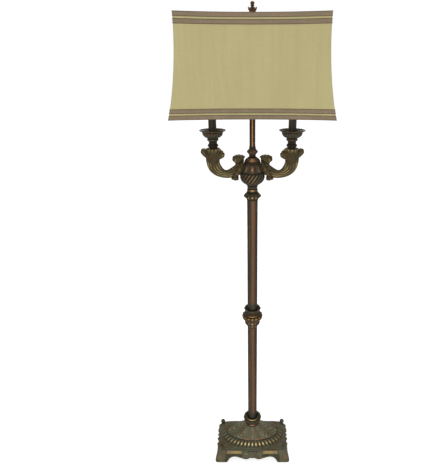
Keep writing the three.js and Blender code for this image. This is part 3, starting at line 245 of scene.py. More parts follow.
def linen():
    """Sand linen: crossed threads, slubs, soft upright shading and darker corner seams."""
    tree = start("shade_linen", (182, 173, 126))
    upright = tree.noise(0.0011, 2, (1, 1, 0.06), 0.6)
    weave = tree.plus(upright, tree.noise(0.0011, 2, (0.06, 0.06, 1), 0.6))
    slub = tree.noise(0.004, 3, (0.12, 0.12, 1), 0.6)
    tree.paint((178, 168, 121), tree.noise(0.09, 2, (1, 1, 0.35)), 0.35, 0.65)
    tree.paint((174, 164, 119), tree.noise(0.016, 3, (1, 1, 0.05)), 0.4, 0.66, 0.0, 0.6)
    tree.paint((172, 162, 116), slub, 0.56, 0.72, 0.0, 0.3)
    tree.paint((166, 156, 112), weave, 0.72, 1.28, 0.3, 0.0)
    tree.paint((92, 90, 62), tree.attribute("lift"), 0.35, 0.95, 0.0, 0.85)
    height = tree.plus(weave, tree.times(slub, 0.6))
    return tree.shade(height, 0.0004, 0.45, Roughness=0.92, Specular_IOR_Level=0.2,
                      Sheen_Weight=0.08, Sheen_Roughness=0.5)


def lining():
    tree = start("shade_lining", (226, 220, 200))
    threads = tree.noise(0.0015, 2, (1, 1, 0.3))
    tree.paint((236, 231, 214), threads, 0.3, 0.7)
    return tree.shade(threads, 0.0003, 0.3, Roughness=0.85)


def braid():
    """Woven braid: slanting ribs, and dark edge cords where the lift is high."""
    tree = start("shade_braid", (136, 120, 98))
    wave = {"Scale": 230, "Distortion": 1.2, "Vector": tree.position()}
    ribs = tree.add("TexWave", wave, wave_type="BANDS", bands_direction="DIAGONAL").outputs["Fac"]
    threads = tree.noise(0.0016, 3, (0.4, 0.4, 1))
    tree.paint((146, 126, 104), tree.noise(0.03, 3), 0.35, 0.65)
    tree.paint((120, 106, 84), threads, 0.35, 0.7, 0.0, 0.8)
    tree.paint((104, 92, 72), ribs, 0.5, 0.0, 0.0, 0.35)
    tree.paint((78, 70, 48), tree.attribute("lift"), 0.4, 0.75)
    height = tree.plus(ribs, tree.times(threads, 0.7))
    return tree.shade(height, 0.0004, 0.7, Roughness=0.85, Specular_IOR_Level=0.25, Sheen_Weight=0.06)


def plain(name, tone, other, size, roughness, metallic=0.0, depth=0.0003, **more):
    """A plain finish with a slight colour change and grain of one size."""
    tree = start(name, tone)
    grain = tree.noise(size, 4)
    tree.paint(other, grain, 0.35, 0.65)
    rough = tree.ramp(grain, 0.3, 0.7, roughness * 0.85, roughness * 1.1)
    return tree.shade(grain, depth, 0.4, Metallic=metallic, Roughness=rough, **more)


BASE_METAL = aged_metal("base_bronze", (33, 32, 26), (94, 93, 74), (92, 80, 60), (84, 98, 85),
                        (152, 144, 110))
CAST_METAL = aged_metal("cast_bronze", (26, 25, 20), (68, 64, 51), (78, 62, 47), (68, 80, 71),
                        (162, 130, 92))
ARM_METAL = aged_metal("arm_bronze", (27, 26, 19), (78, 71, 50), (84, 69, 47), (74, 80, 60),
                       (150, 132, 90), 0.35)
COPPER = aged_metal("rubbed_copper", (27, 23, 17), (82, 61, 44), (66, 53, 40), (60, 68, 56), (176, 136, 96),
                    0.35, (0.3, 0.44))
FINIAL_METAL = aged_metal("finial_copper", (30, 42, 40), (102, 68, 42), (84, 60, 42), (62, 88, 82),
                          (180, 130, 82), 0.25, (0.3, 0.44))
POLE_METAL = pole_metal()
STEM_METAL = stem_metal()
CANDLE = candle_finish()
LINEN = linen()
LINING = lining()
BRAID = braid()
WIRE = plain("shade_wire", (206, 204, 196), (190, 186, 174), 0.004, 0.36, 0.7)
IRON = plain("iron", (58, 56, 54), (74, 66, 58), 0.006, 0.7, 0.5, 0.0008)
STEEL = plain("steel", (170, 168, 160), (150, 146, 138), 0.003, 0.34, 0.95)
BRASS = plain("brass", (176, 142, 78), (160, 124, 64), 0.004, 0.32, 0.95)
RUBBER = plain("rubber", (38, 36, 33), (48, 45, 41), 0.0012, 0.85, 0.0, 0.0005)
PHENOLIC = plain("phenolic", (44, 38, 34), (52, 45, 39), 0.003, 0.38)
GLASS = plain("bulb_glass", (238, 234, 222), (244, 240, 230), 0.02, 0.22, 0.0, 0.0001, Coat_Weight=0.6)
PLAIN_LIFT = 0.5
HOLLOW_LIFT = 0.45


# Grids: arrays of points in millimetres, rows along a form and columns round it
def smooth(points, count):
    """A smooth line through points, with count steps from each one to the next."""
    points = np.asarray(points, float)
    ends = [2 * points[0] - points[1], *points, 2 * points[-1] - points[-2]]
    out = []
    for a, b, c, d in zip(ends, ends[1:], ends[2:], ends[3:]):
        for k in range(count):
            t = k / count
            line = 2 * b + (c - a) * t + (2 * a - 5 * b + 4 * c - d) * t * t
            out.append(0.5 * (line + (3 * b - a - 3 * c + d) * t**3))
    return np.array([*out, points[-1]])


def length_along(line):
    return np.concatenate([[0], np.cumsum(np.linalg.norm(np.diff(line, axis=0), axis=1))])


def closed_line(points, count):
    """A smooth closed line through points, with its points evenly spaced."""
    dense = smooth([*points[-2:], *points, *points[:2]], 8)[16:-8]
    length = length_along(dense)
    even = np.linspace(0, length[-1], count, endpoint=False)
    return np.stack([np.interp(even, length, dense[:, axis]) for axis in (0, 1)], axis=1)


def step(value, low, high):
    t = np.clip((value - low) / (high - low), 0, 1)
    return t * t * (3 - 2 * t)


def window(value, low, high, soft):
    return step(value, low - soft, low + soft) * (1 - step(value, high - soft, high + soft))


def hill(value, width):
    return np.exp(-((value / width) ** 2))


def peaks(share, width, *places):
    """1 at places along the profile, falling off within a width."""
    return np.max([hill(share - place, width) for place in places], axis=0)


def fold(value, pitch):
    """The distance from the nearest multiple of a pitch."""
    return (value + pitch / 2) % pitch - pitch / 2


def near_front(angle, width):
    """1 at the front and the back of a turned piece, falling off to its sides; it places painted
    highlights, and leaves painted shade at the sides.
    """
    return hill(fold(angle, math.pi), width)


def lobes(angle, count, power):
    """Round lobes with narrow valleys: 1 on top and 0 between."""
    return np.abs(np.cos(angle * count / 2)) ** power


def bead_row(angle, along, count, centre, size_angle, size_along):
    inside = 1 - (fold(angle, TURN / count) / size_angle) ** 2 - ((along - centre) / size_along) ** 2
    return np.sqrt(np.clip(inside, 0, None))


def unit(vectors):
    return vectors / np.maximum(np.linalg.norm(vectors, axis=-1, keepdims=True), 1e-9)


def rows_of(count):
    return np.linspace(0, 1, count)[:, None]


def spin(count):
    return (np.arange(count) * TURN / count)[None]


def rings(radius, angle, height, x=0.0, y=0.0):
    """Round rings about an upright axis at x and y."""
    around = x + radius * np.cos(angle), y + radius * np.sin(angle)
    return np.stack(np.broadcast_arrays(*around, height), axis=2)


def normals_of(grid):
    around = np.roll(grid, -1, 1) - np.roll(grid, 1, 1)
    along = np.roll(grid, -1, 0) - np.roll(grid, 1, 0)
    return unit(np.cross(around, along))


def facing_out(grid, *values):
    """The grid and its values with the columns in the order that makes its faces point outwards."""
    middle = len(grid) // 2
    away = grid[middle] - grid[middle].mean(0)
    if (normals_of(grid)[middle] * away).sum() < 0:
        return [array[:, ::-1] for array in (grid, *values)]
    return [grid, *values]


def carved(grid, raised, *values):
    """The grid facing out and moved out by an amount at each point, with its values."""
    grid, raised, *values = facing_out(grid, raised, *values)
    return [grid + normals_of(grid) * raised[:, :, None], *values]


class Form:
    """Grids that are gathered into one mesh, each point with a lift and a tint value, which also carry
    painted highlights and shade.
    """

    def __init__(self):
        self.points = []
        self.faces = []
        self.values = []
        self.total = 0

    def put(self, points, values):
        self.points.append(points.reshape(-1, 3))
        self.values.append(values.reshape(-1, 2))
        self.total += len(self.points[-1])

    def add(self, grid, lift=PLAIN_LIFT, tint_and_highlight=0.0, loop=False):
        """A grid closed round its columns, and either looped along its rows or capped at both ends."""
        shape = grid.shape[:2]
        index = self.total + np.arange(shape[0] * shape[1]).reshape(shape)
        low, high = (index, np.roll(index, -1, 0)) if loop else (index[:-1], index[1:])
        quads = np.stack([low, np.roll(low, -1, 1), np.roll(high, -1, 1), high], axis=2)
        self.faces += quads.reshape(-1, 4).tolist()
        values = np.stack([np.broadcast_to(value, shape) for value in (lift, tint_and_highlight)], axis=2)
        self.put(grid, values)
        for row, ring in [] if loop else [(0, index[0][::-1]), (-1, index[-1])]:
            self.faces += [[int(a), int(b), self.total] for a, b in zip(ring, np.roll(ring, -1))]
            self.put(grid[row].mean(0), values[row].mean(0))
        return self

    def mirror(self, flip):
        """Puts the form on the other side of x = 0 where flip is -1."""
        if flip < 0:
            self.points = [points * (-1, 1, 1) for points in self.points]
            self.faces = [face[::-1] for face in self.faces]
        return self

    def make(self, name, node, material, body="stand"):
        """The piece in place of a CAD node, riding on a body."""
        mesh = bpy.data.meshes.new(name)
        mesh.from_pydata((np.concatenate(self.points) * MM).tolist(), [], self.faces)
        mesh.polygons.foreach_set("use_smooth", [True] * len(mesh.polygons))
        values = np.concatenate(self.values).astype(np.float32)
        for column, key in enumerate(("lift", "tint_and_highlight")):
            attribute = mesh.attributes.new(key, "FLOAT", "POINT")
            attribute.data.foreach_set("value", values[:, column].copy())
        mesh.materials.append(material)
        piece = add_object(name, mesh)
        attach(piece, body)
        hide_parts(node)
        return piece


def span(node):
    """Lowest and highest height of a CAD node in millimetres."""
    low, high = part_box(node)
    return low.z / MM, high.z / MM


def height_of(node):
    low, high = span(node)
    return high - low


def lathe(outer, inner, sides, relief=None, x=0.0, steps=6):
    """A turned grid: an outer profile, carved by relief(angle, share, radius), and a plain inner one."""
    line = smooth(outer, steps)
    length = length_along(line)
    share = (length / length[-1])[:, None]
    angle = spin(sides)
    full = np.concatenate([line, np.reshape(inner, (-1, 2))])
    radius = full[:, :1] + 0 * angle
    grid = rings(radius, angle, full[:, 1:], x)
    lift = np.full(radius.shape, PLAIN_LIFT)
    tint_and_highlight = np.zeros(radius.shape)
    if relief:
        rows = slice(len(line))
        depth = np.zeros(radius.shape)
        from_front = angle - FRONT + 0 * share
        depth[rows], lift[rows], tint_and_highlight[rows] = relief(from_front, share + 0 * angle, radius[rows])
        depth[0] = depth[len(line) - 1] = 0
        grid = grid + normals_of(grid) * depth[:, :, None]
    lift[len(line) :] = HOLLOW_LIFT
    return grid, np.clip(lift, 0, 1), tint_and_highlight


def turned(name, node, material, profile, inner=(), relief=None, sides=96, steps=6, x=0.0, body="stand",
           extra=None):
    """A turned piece for a CAD node: (radius, share of height) and inner (radius, height) points."""
    low, high = span(node)
    outer = [(radius, low + share * (high - low)) for radius, share in profile]
    hollow = [(radius, low + up) for radius, up in inner]
    form = Form().add(*lathe(outer, hollow, sides, relief, x, steps), loop=bool(inner))
    if extra:
        extra(form)
    form.make(name, node, material, body)


# Column pieces. Radii in millimetres, and reliefs with angles counted from the front
POLE_R = 17.75
SOCKET_R = 18.2
BORE_R = 5.6
STEM_R = 9.0
STEM_SOCKET_R = 9.4
TUBE_WALL = 1.6
ROSETTE_TALL = 25


def ring_relief(angle, share, radius):
    """Smooth roll with a painted copper highlight on its upper front and back, dark elsewhere."""
    painted_gleam = near_front(angle, 0.5) * peaks(share, 0.16, 0.42)
    return 0, 0.26 + 0.9 * painted_gleam, -0.3 * painted_gleam


def cup_relief(angle, share, radius):
    """Leaf tips on a dark torus, a gold band above it painted as a highlight at the front and back, and a
    light line round the open rim.
    """
    tips = lobes(angle, 12, 0.6)
    torus = window(share, 0.16, 0.5, 0.05)
    band = peaks(share, 0.06, 0.655)
    groove = peaks(share, 0.025, 0.57)
    painted_highlight = near_front(angle, 0.7)
    height = 1.6 * torus * (tips - 0.55) + 0.5 * band - 0.5 * groove
    lift = 0.24 + 0.3 * torus * tips + 0.45 * band * (0.3 + 0.7 * painted_highlight) - 0.15 * groove
    return height, lift + 0.4 * peaks(share, 0.04, 0.79), 0.9 * band * painted_highlight


def lower_cup_relief(angle, share, radius):
    """Leaves under and above a saucer's dark rim, with a painted rose-tan highlight at the front and back.
    """
    petals = lobes(angle, 12, 0.6)
    leaves = np.maximum(window(share, 0.12, 0.42, 0.06), window(share, 0.54, 0.96, 0.05))
    painted_highlight = near_front(angle, 0.75)
    lift = 0.14 + leaves * petals * (0.2 + 0.8 * painted_highlight)
    return 1.4 * leaves * (petals - 0.6), lift, -0.3 * leaves * petals * painted_highlight


def upper_cup_relief(angle, share, radius):
    """Dark throat and leaf tips that curl over an open rim, light inside."""
    petals = lobes(angle, 8, 0.7)
    outside = window(share, 0.4, 0.72, 0.06)
    height = outside * (1.8 * (petals - 0.7) + 0.8 * lobes(angle, 24, 0.8))
    return height, 0.27 + 0.36 * outside * petals + 0.34 * window(share, 0.72, 0.88, 0.05), 0


def ball_relief(angle, share, radius):
    """A torus at the top and a row of beads at the widest part, both with a painted highlight at the front
    and back, and slanting leaves below.
    """
    torus = peaks(share, 0.08, 0.87)
    beads = bead_row(angle, share, 16, 0.56, 0.15, 0.09)
    leaves = lobes(angle + 1.6 * share, 20, 0.7) * window(share, 0.06, 0.42, 0.05)
    painted_highlight = near_front(angle, 0.6)
    height = 0.6 * torus + 2.0 * beads + 1.3 * leaves - 0.9 * peaks(share, 0.03, 0.45, 0.76) - 0.7
    lift = 0.24 + torus * (0.3 + 0.5 * painted_highlight) + 0.6 * beads + 0.34 * leaves
    return height, lift, 0.3 * torus * painted_highlight + beads * (0.25 + 0.45 * painted_highlight)


def collar_relief(angle, share, radius):
    """Fourteen beads in leaf sockets, with petals above; the beads carry a painted highlight, strongest at
    the front and back.
    """
    beads = bead_row(angle, share, 14, 0.5, 0.15, 0.085)
    arcs = lobes(angle, 14, 0.5) * window(share, 0.62, 0.88, 0.05)
    low = lobes(angle, 14, 0.6) * window(share, 0.14, 0.38, 0.05)
    lit = beads * (0.2 + 0.8 * near_front(angle, 0.6))
    lift = np.maximum(0.12 + 0.8 * lit, 0.14 + 0.34 * np.maximum(arcs, low))
    return 3.0 * beads + 1.4 * arcs + 1.2 * low - 1.0, lift, 0.8 * lit


# A painted highlight across the ring's front and back.
def neck_relief(angle, share, radius):
    painted_highlight = near_front(angle, 0.55) * peaks(share, 0.2, 0.55)
    return 0, 0.25 + 0.8 * painted_highlight, 0.2 * painted_highlight


def gadroon_relief(angle, share, radius):
    """Gadroons that slant over the urn's lower bowl, with a plain band above them; their ridges carry a
    painted highlight, strongest at the front and back.
    """
    slant = lobes(angle - 1.15 * share, 20, 0.65)
    area = window(share, 0.22, 0.93, 0.05)
    lit = area * (0.45 + 0.55 * near_front(angle, 0.7))
    lift = 0.08 + 0.76 * lit * slant**4 + 0.3 * peaks(share, 0.06, 0.06)
    return 2.4 * area * (slant - 0.85) - 0.3, lift, -0.25 * lit * slant**10


def panel_relief(angle, share, radius):
    """Upright leaves round the urn's upper bowl, with a rosette at the front and back."""
    leaf = lobes(angle, 10, 0.6)
    vein = lobes(angle, 10, 16)
    tips = window(share, 0.12, 0.9, 0.08)
    across = fold(angle, math.pi) * radius
    up = (share - 0.5) * ROSETTE_TALL
    far = np.hypot(across, up)
    petals = 0.75 + 0.25 * np.cos(5 * np.arctan2(up, across))
    rose = np.sqrt(np.clip(1 - far / (8.5 * petals), 0, 1))
    button = np.sqrt(np.clip(1 - (far / 2.4) ** 2, 0, None))
    height = tips * (1.8 * (leaf - 0.7) + 0.9 * vein) + 2.2 * rose + button - 1.1
    lift = 0.16 + tips * (0.42 * leaf + 0.22 * vein) + 0.2 * rose + 0.3 * button
    return height, lift + 0.35 * peaks(share, 0.04, 0.03, 0.97), -0.5 * button


def bell_relief(angle, share, radius):
    """Smooth bell with a painted highlight at the front and back, over a dark shoulder ring with small
    drops.
    """
    drops = bead_row(angle, share, 16, 0.16, 0.14, 0.07)
    bell = window(share, 0.34, 0.74, 0.08)
    painted_highlight = bell * near_front(angle, 0.6)
    return drops, 0.14 + 0.26 * bell + 0.45 * painted_highlight + 0.4 * drops, -0.35 * painted_highlight


def knob_relief(angle, share, radius):
    petals = lobes(angle + FRONT, 10, 0.6) * window(share, 0.2, 0.7, 0.12)
    return petals - 0.4, 0.16 + 0.5 * petals, 0


def pole_relief(angle, share, radius):
    """Painted shade at the sides, a painted copper highlight down the front and back, and greyed at the
    foot.
    """
    greyed = 1 - step(share, 0.06, 0.09)
    return 0, near_front(angle, 0.78), near_front(angle - 0.12, 0.3) - 1.6 * greyed


# Lift that places the stem's painted copper highlight at the front and back.
def stem_relief(angle, share, radius):
    return 0, near_front(angle, 0.4), 0


def bore(node, radius=BORE_R):
    """Inner points of a bore through a node."""
    return [(radius, height_of(node)), (radius, 0)]


def socket_above(height, floor, radius=SOCKET_R):
    """Inner points of a piece that takes a pole from above."""
    return [(radius, height), (radius, floor), (BORE_R, floor), (BORE_R, 0)]


def socket_below(node, floor, mouth):
    """Inner points of a piece that takes a pole from below."""
    return [(BORE_R, height_of(node)), (BORE_R, floor), (SOCKET_R, floor), (SOCKET_R, mouth)]


turned("base_ring_turned", "base_ring", COPPER,
       [(26.4, 0), (27.6, 0.12), (28.2, 0.32), (27.6, 0.5), (25.6, 0.6), (24.6, 0.7), (25.8, 0.82),
        (26.2, 1)],
       bore("base_ring"), ring_relief)
cup_tall = height_of("pole_cup")
turned("pole_cup_turned", "pole_cup", CAST_METAL,
       [(25, 0), (26.6, 0.05), (26.3, 0.1), (29.5, 0.15), (33.6, 0.21), (35.6, 0.28), (34.6, 0.35),
        (31, 0.4), (28, 0.415), (27.6, 0.45), (28.2, 0.52), (27.6, 0.585), (25.6, 0.605),
        (23.6, 0.58), (22.6, 0.5), (21.5, 0.42), (19.4, 0.39)],
       socket_above(0.385 * cup_tall, cup_tall - 26), cup_relief, 168)
turned("coupling_lower_turned", "coupling_lower_cup", CAST_METAL,
       [(18.9, 0.06), (19.6, 0.2), (21.8, 0.34), (25.6, 0.45), (27.4, 0.53), (27.2, 0.58), (24.6, 0.64),
        (23.6, 0.7), (25.4, 0.8), (29, 0.92), (30.4, 1)],
       socket_below("coupling_lower_cup", 16, 2.04), lower_cup_relief, 144, 7)
turned("coupling_ball_turned", "coupling_ball", COPPER,
       [(30.4, 0), (33.6, 0.12), (36, 0.3), (37, 0.46), (36.4, 0.6), (33.6, 0.7), (30.6, 0.76), (29.4, 0.8),
        (29.8, 0.86), (30, 0.92), (29, 0.975), (26.4, 1)],
       bore("coupling_ball"), ball_relief, 192, 7)
turned("coupling_upper_turned", "coupling_upper_cup", CAST_METAL,
       [(26, 0), (24, 0.06), (23.2, 0.15), (23.8, 0.28), (26, 0.42), (28.4, 0.54), (29.2, 0.62),
        (27.8, 0.7), (25.2, 0.67), (23, 0.58), (21, 0.5), (19, 0.465)],
       socket_above(12.9, 12), upper_cup_relief, 144)
turned("beaded_collar_turned", "beaded_collar", CAST_METAL,
       [(18.9, 0.06), (20, 0.2), (23.6, 0.34), (26.4, 0.47), (26.8, 0.56), (25.4, 0.68), (21.6, 0.84),
        (19.2, 0.95), (18.8, 1)],
       socket_below("beaded_collar", 12, 1.7), collar_relief, 196, 8)
turned("urn_neck_ring_turned", "urn_neck_ring", COPPER,
       [(15, 0), (16.8, 0.2), (17.3, 0.5), (16.8, 0.8), (14.2, 1)], bore("urn_neck_ring"), neck_relief)
turned("urn_lower_turned", "urn_lower", CAST_METAL,
       [(15.4, 0), (17, 0.05), (17.2, 0.12), (19.6, 0.2), (25, 0.28), (32, 0.37), (37, 0.5), (39.2, 0.65),
        (39.3, 0.76), (38.6, 0.88), (37.6, 0.94), (38.2, 0.97), (37.6, 1)],
       bore("urn_lower"), gadroon_relief, 280)
turned("urn_upper_turned", "urn_upper", CAST_METAL,
       [(37.2, 0), (36.9, 0.1), (35.2, 0.3), (32.2, 0.6), (29.6, 0.84), (27.8, 1)],
       bore("urn_upper"), panel_relief, 250, 9)
turned("urn_cap_turned", "urn_cap", COPPER,
       [(25.6, 0), (26.5, 0.05), (26.5, 0.14), (24.4, 0.2), (24.6, 0.36), (21.8, 0.54), (16.2, 0.74),
        (11.4, 0.88), (10.2, 1)],
       bore("urn_cap"), bell_relief, 144)
knob_tall = height_of("stem_knob")
turned("stem_knob_turned", "stem_knob", CAST_METAL,
       [(10.5, 0), (11.9, 0.14), (15.2, 0.32), (16.6, 0.42), (15.2, 0.52), (12.2, 0.66), (10.7, 0.8),
        (10.5, 1)],
       socket_above(knob_tall, knob_tall - 10, STEM_SOCKET_R), knob_relief, 120)
for tube, radius, material, relief in (
    ("lower_pole", POLE_R, POLE_METAL, pole_relief),
    ("upper_pole", POLE_R, POLE_METAL, pole_relief),
    ("centre_stem", STEM_R, STEM_METAL, stem_relief),
):
    turned(f"{tube}_tube", tube, material, [(radius, 0), (radius, 0.5), (radius, 1)],
           bore(tube, radius - TUBE_WALL), relief, 72, 24)


# Arms. Points are millimetres out from the lamp's axis and up from the arm's lowest point
ARM_REACH = 121.4
ARM_RISE = 98.0
ARM_STEPS = 8
CURL_TWIST = 0.75
arm_low = span("arm_right")[0]
crown_low = arm_low + 0.8 * ARM_RISE + 0.3

# Shares of the reach and the rise, and half depths
HORN_OUTER = [(0.546, 0.04), (0.556, 0.01), (0.6, 0.004), (0.684, 0), (0.832, 0.026), (0.98, 0.102),
              (1.104, 0.235), (1.17, 0.408), (1.194, 0.592), (1.186, 0.8)]
HORN_INNER = [(0.222, 0.633), (0.36, 0.51), (0.5, 0.375), (0.62, 0.28), (0.7, 0.262), (0.76, 0.31),
              (0.8, 0.38), (0.832, 0.47), (0.85, 0.602), (0.848, 0.8)]
HORN_DEPTH = [27, 20.5, 16, 13.5, 13, 14.5, 16.5, 18.5, 20, 20.5]
# Leaf outlines, the crown's from its bottom on the candle's axis; curls give a centre and a size
CROWN_LEAF = [(1, -42), (12, -36), (20, -25), (23.5, -14), (24.5, -7), (27, -4.8), (31, -4.5), (36.5, -1),
              (39, 6), (36.5, 12), (30, 15.5), (24, 14), (18, 16), (13, 18.5), (6, 17), (0, 18.5), (-6, 17),
              (-13, 18.5), (-18, 15), (-23, 12), (-29, 7), (-33.5, 1), (-35.5, -5), (-33.5, -11),
              (-28, -13.5), (-24, -11.5), (-21, -13), (-19.5, -20), (-17, -30), (-9, -38)]
CROWN_ROOT = (0, -24)
CROWN_CURLS = ((32, 5, 9), (-28, -5, 8.5))
CROWN_BELL = [(19.5, 0), (20.5, 4), (21.6, 8.5), (20.4, 12.5), (15.5, 15.5), (12.8, 19)]
MOUTH_LEAF = [(23, 67), (31.6, 60), (41, 49), (53, 39), (54.6, 51), (60.7, 56), (63, 62), (59.5, 69.6),
              (46, 74.5), (30, 73)]
MOUTH_ROOT = (48, 52)
MOUTH_CURLS = ((56, 61, 7.5),)
CALYX_LEAF = [(65.5, 2), (68, -2), (60.7, -6), (51, -8), (44, -5), (43.7, 2), (48.6, 10), (57, 10)]
CALYX_ROOT = (54.5, 3)
CALYX_DEPTH = [13, 15, 20.5, 26]


def arm_points(shares):
    return [(x * ARM_REACH, z * ARM_RISE + arm_low) for x, z in shares]


def tilted_rings(outer, inner, depth, columns):
    """Ellipses between two lines in the arm's plane, with their angle and share along it."""
    angle = spin(columns)
    outer, inner = smooth(outer, ARM_STEPS), smooth(inner, ARM_STEPS)
    centre = (outer + inner)[:, None] / 2
    half = (outer - inner)[:, None] / 2
    across = centre + half * np.cos(angle)[:, :, None]
    deep = smooth(np.reshape(depth, (-1, 1)), ARM_STEPS) * np.sin(angle)
    return np.stack([across[:, :, 0], deep, across[:, :, 1]], axis=2), angle, rows_of(len(outer))


def add_horn(form):
    """The horn: wavy ridges that run along it from the mouth to the crown."""
    grid, angle, along = tilted_rings(arm_points(HORN_OUTER), arm_points(HORN_INNER), HORN_DEPTH, 126)
    wavy = angle + 0.22 * np.sin(2.3 * math.pi * along)
    flutes = lobes(wavy, 14, 0.8)
    fade = window(along, 0.05, 0.985, 0.035)
    lip = hill(along, 0.03)
    fine = 0.5 + 0.5 * np.cos(3 * wavy + 11 * along)
    lift = 0.1 + fade * flutes**1.5 * (0.6 + 0.3 * fine) + 0.3 * lip
    form.add(*carved(grid, 2.0 * fade * (flutes - 0.85) + 0.6 * lip, np.clip(lift, 0, 1)))


def add_calyx(form):
    """Leafy cup between the urn and the horn's mouth."""
    outer = np.array(arm_points(HORN_OUTER)[0])
    inner = np.array(arm_points(HORN_INNER)[0])
    back = 0.9 * unit(np.array([outer[1] - inner[1], inner[0] - outer[0]]))
    root = 0.3 * ARM_RISE + arm_low
    low = [(31, root - 13), (37, root - 17), (50, root - 24), outer + back]
    high = [(28, root + 14), (27.5, root + 18), (26.5, root + 24), inner + back]
    grid, angle, share = tilted_rings(low, high, CALYX_DEPTH, 96)
    petals = lobes(angle + 0.5 * share, 10, 0.7)
    edge = hill(share - 1, 0.09)
    raised = 1.8 * (petals - 0.7) * share * (1 - edge)
    lift = np.clip(0.2 + 0.6 * petals * share, 0, 1) * (1 - edge)
    form.add(*carved(grid, raised, lift, 0.2 * petals * share * (1 - edge) - 0.35 * edge))


def fan(form, shape, root, deep, flutes, place, rows=17, columns=96, curls=()):
    """A full leaf in the arm's plane: flutes out to a scalloped edge, and rolled curls."""
    line = closed_line(shape, columns) + place
    root = np.asarray(root, float) + place
    folds = lobes(spin(columns)[0], flutes, 0.8)
    edge = line + unit(line - root) * (1.8 * (folds - 0.7))[:, None]
    around = np.linspace(0.04, 0.96, rows)[:, None] * math.pi
    out = np.sin(around) ** 0.75
    up = np.cos(around)
    plan = root + (edge - root)[None] * out[:, :, None]
    calm = coils = 0
    for *centre, size in curls:
        right, over = np.moveaxis(plan - centre - place, 2, 0)
        far = np.hypot(right, over)
        near = np.clip(2.2 - 1.8 * far / size, 0, 1)
        calm = np.maximum(calm, near)
        coils = coils + near * lobes(np.arctan2(over, right) - CURL_TWIST * far, 1, 0.9)
    ribs = (folds - 0.7) * out**2 * (1 - calm)
    swell = 1 + 0.3 * ribs + 0.14 * (coils - 0.3 * calm)
    forward = deep * np.sign(up) * np.abs(up) ** 0.75 * swell
    fluted = 0.12 + 0.8 * folds**1.5 * out**2 + 0.2 * (1 - out)
    lift = np.clip(fluted * (1 - calm) + 0.06 * calm + 0.78 * coils, 0, 1)
    form.add(*facing_out(np.stack([plan[:, :, 0], -forward, plan[:, :, 1]], axis=2), lift))


def crown_relief(angle, share, radius):
    """Folds that rise to a ruffled edge."""
    folds = lobes(angle, 12, 0.7) * window(share, 0.05, 0.8, 0.08)
    ruffle = peaks(share, 0.12, 0.55) * lobes(angle, 12, 0.8)
    return 1.6 * (folds - 0.6) + 1.6 * ruffle, 0.12 + 0.55 * folds + 0.3 * ruffle, 0


def candle_relief(angle, share, radius):
    """Flutes round the bowl, a bead below it and a gold rim with a painted highlight at the front and back.
    """
    bowl = window(share, 0.5, 0.8, 0.03)
    flutes = lobes(angle, 22, 0.7)
    rim = peaks(share, 0.03, 0.93) * (0.4 + 0.6 * near_front(angle, 0.8))
    lift = 0.14 + 0.4 * bowl * flutes + 0.35 * peaks(share, 0.04, 0.38) + 0.35 * rim
    return 1.3 * bowl * (flutes - 0.6), lift, 0.4 * rim


def build_arm(side, flip):
    """Crown of leaves round a ruffled bell, ridged horn with a leaf over its mouth, and leafy calyx."""
    crown, horn, calyx = Form(), Form(), Form()
    bell = [(radius, crown_low + up) for radius, up in CROWN_BELL]
    crown.add(*lathe(bell, (), 132, crown_relief, ARM_REACH))
    fan(crown, CROWN_LEAF, CROWN_ROOT, 22, 24, (ARM_REACH, crown_low), 21, 240, CROWN_CURLS)
    add_horn(horn)
    fan(horn, MOUTH_LEAF, MOUTH_ROOT, 18, 11, (0, arm_low), curls=MOUTH_CURLS)
    add_calyx(calyx)
    fan(calyx, CALYX_LEAF, CALYX_ROOT, 14, 7, (0, arm_low))
    for form, name, node in (
        (crown, "arm_crown_leaves", "arm_crown"),
        (horn, "arm_horn", "arm"),
        (calyx, "arm_calyx_leaves", "arm_calyx"),
    ):
        form.mirror(flip).make(f"{name}_{side}", f"{node}_{side}", ARM_METAL)


def build_candle(side, x):
    """Candle cup, sleeve, socket and bulb of one arm."""
    tall = height_of(f"candle_cup_{side}")
    turned(f"candle_cup_turned_{side}", f"candle_cup_{side}", CAST_METAL,
           [(13, 0), (16, 0.05), (16.2, 0.12), (12.7, 0.22), (13.4, 0.33), (17.4, 0.41), (17.4, 0.47),
            (15.8, 0.51), (19, 0.55), (24.5, 0.61), (28.8, 0.69), (30.8, 0.78), (32, 0.86), (35.4, 0.915),
            (39.6, 0.95), (40.4, 0.975), (39.4, 1)],
           [(38.4, tall - 0.6), (33, tall - 2.6), (25, tall - 6), (19, tall - 8), (0.05, tall - 8),
            (0.05, 0)],
           candle_relief, 176, x=x)
    turned(f"candle_sleeve_tube_{side}", f"candle_sleeve_{side}", CANDLE,
           [(11.8, 0), (12, 0.01), (12, 0.5), (12, 0.99), (11.8, 1)],
           bore(f"candle_sleeve_{side}", 10.8), sides=64, steps=4, x=x)
    build_socket(side, x)
    turned(f"bulb_cap_turned_{side}", f"bulb_cap_{side}", BRASS,
           [(3.6, 0), (6, 0.03), (5.7, 0.16), (6, 0.3), (5.7, 0.44), (6, 0.58), (5.7, 0.72), (6, 0.86),
            (6, 1)],
           sides=48, x=x)
    turned(f"bulb_glass_blown_{side}", f"bulb_glass_{side}", GLASS,
           [(6.3, 0), (6.9, 0.08), (13.9, 0.26), (16.5, 0.42), (15.5, 0.58), (10.9, 0.8), (5.6, 0.93),
            (2, 0.985), (0.2, 1)],
           sides=64, steps=7, x=x)


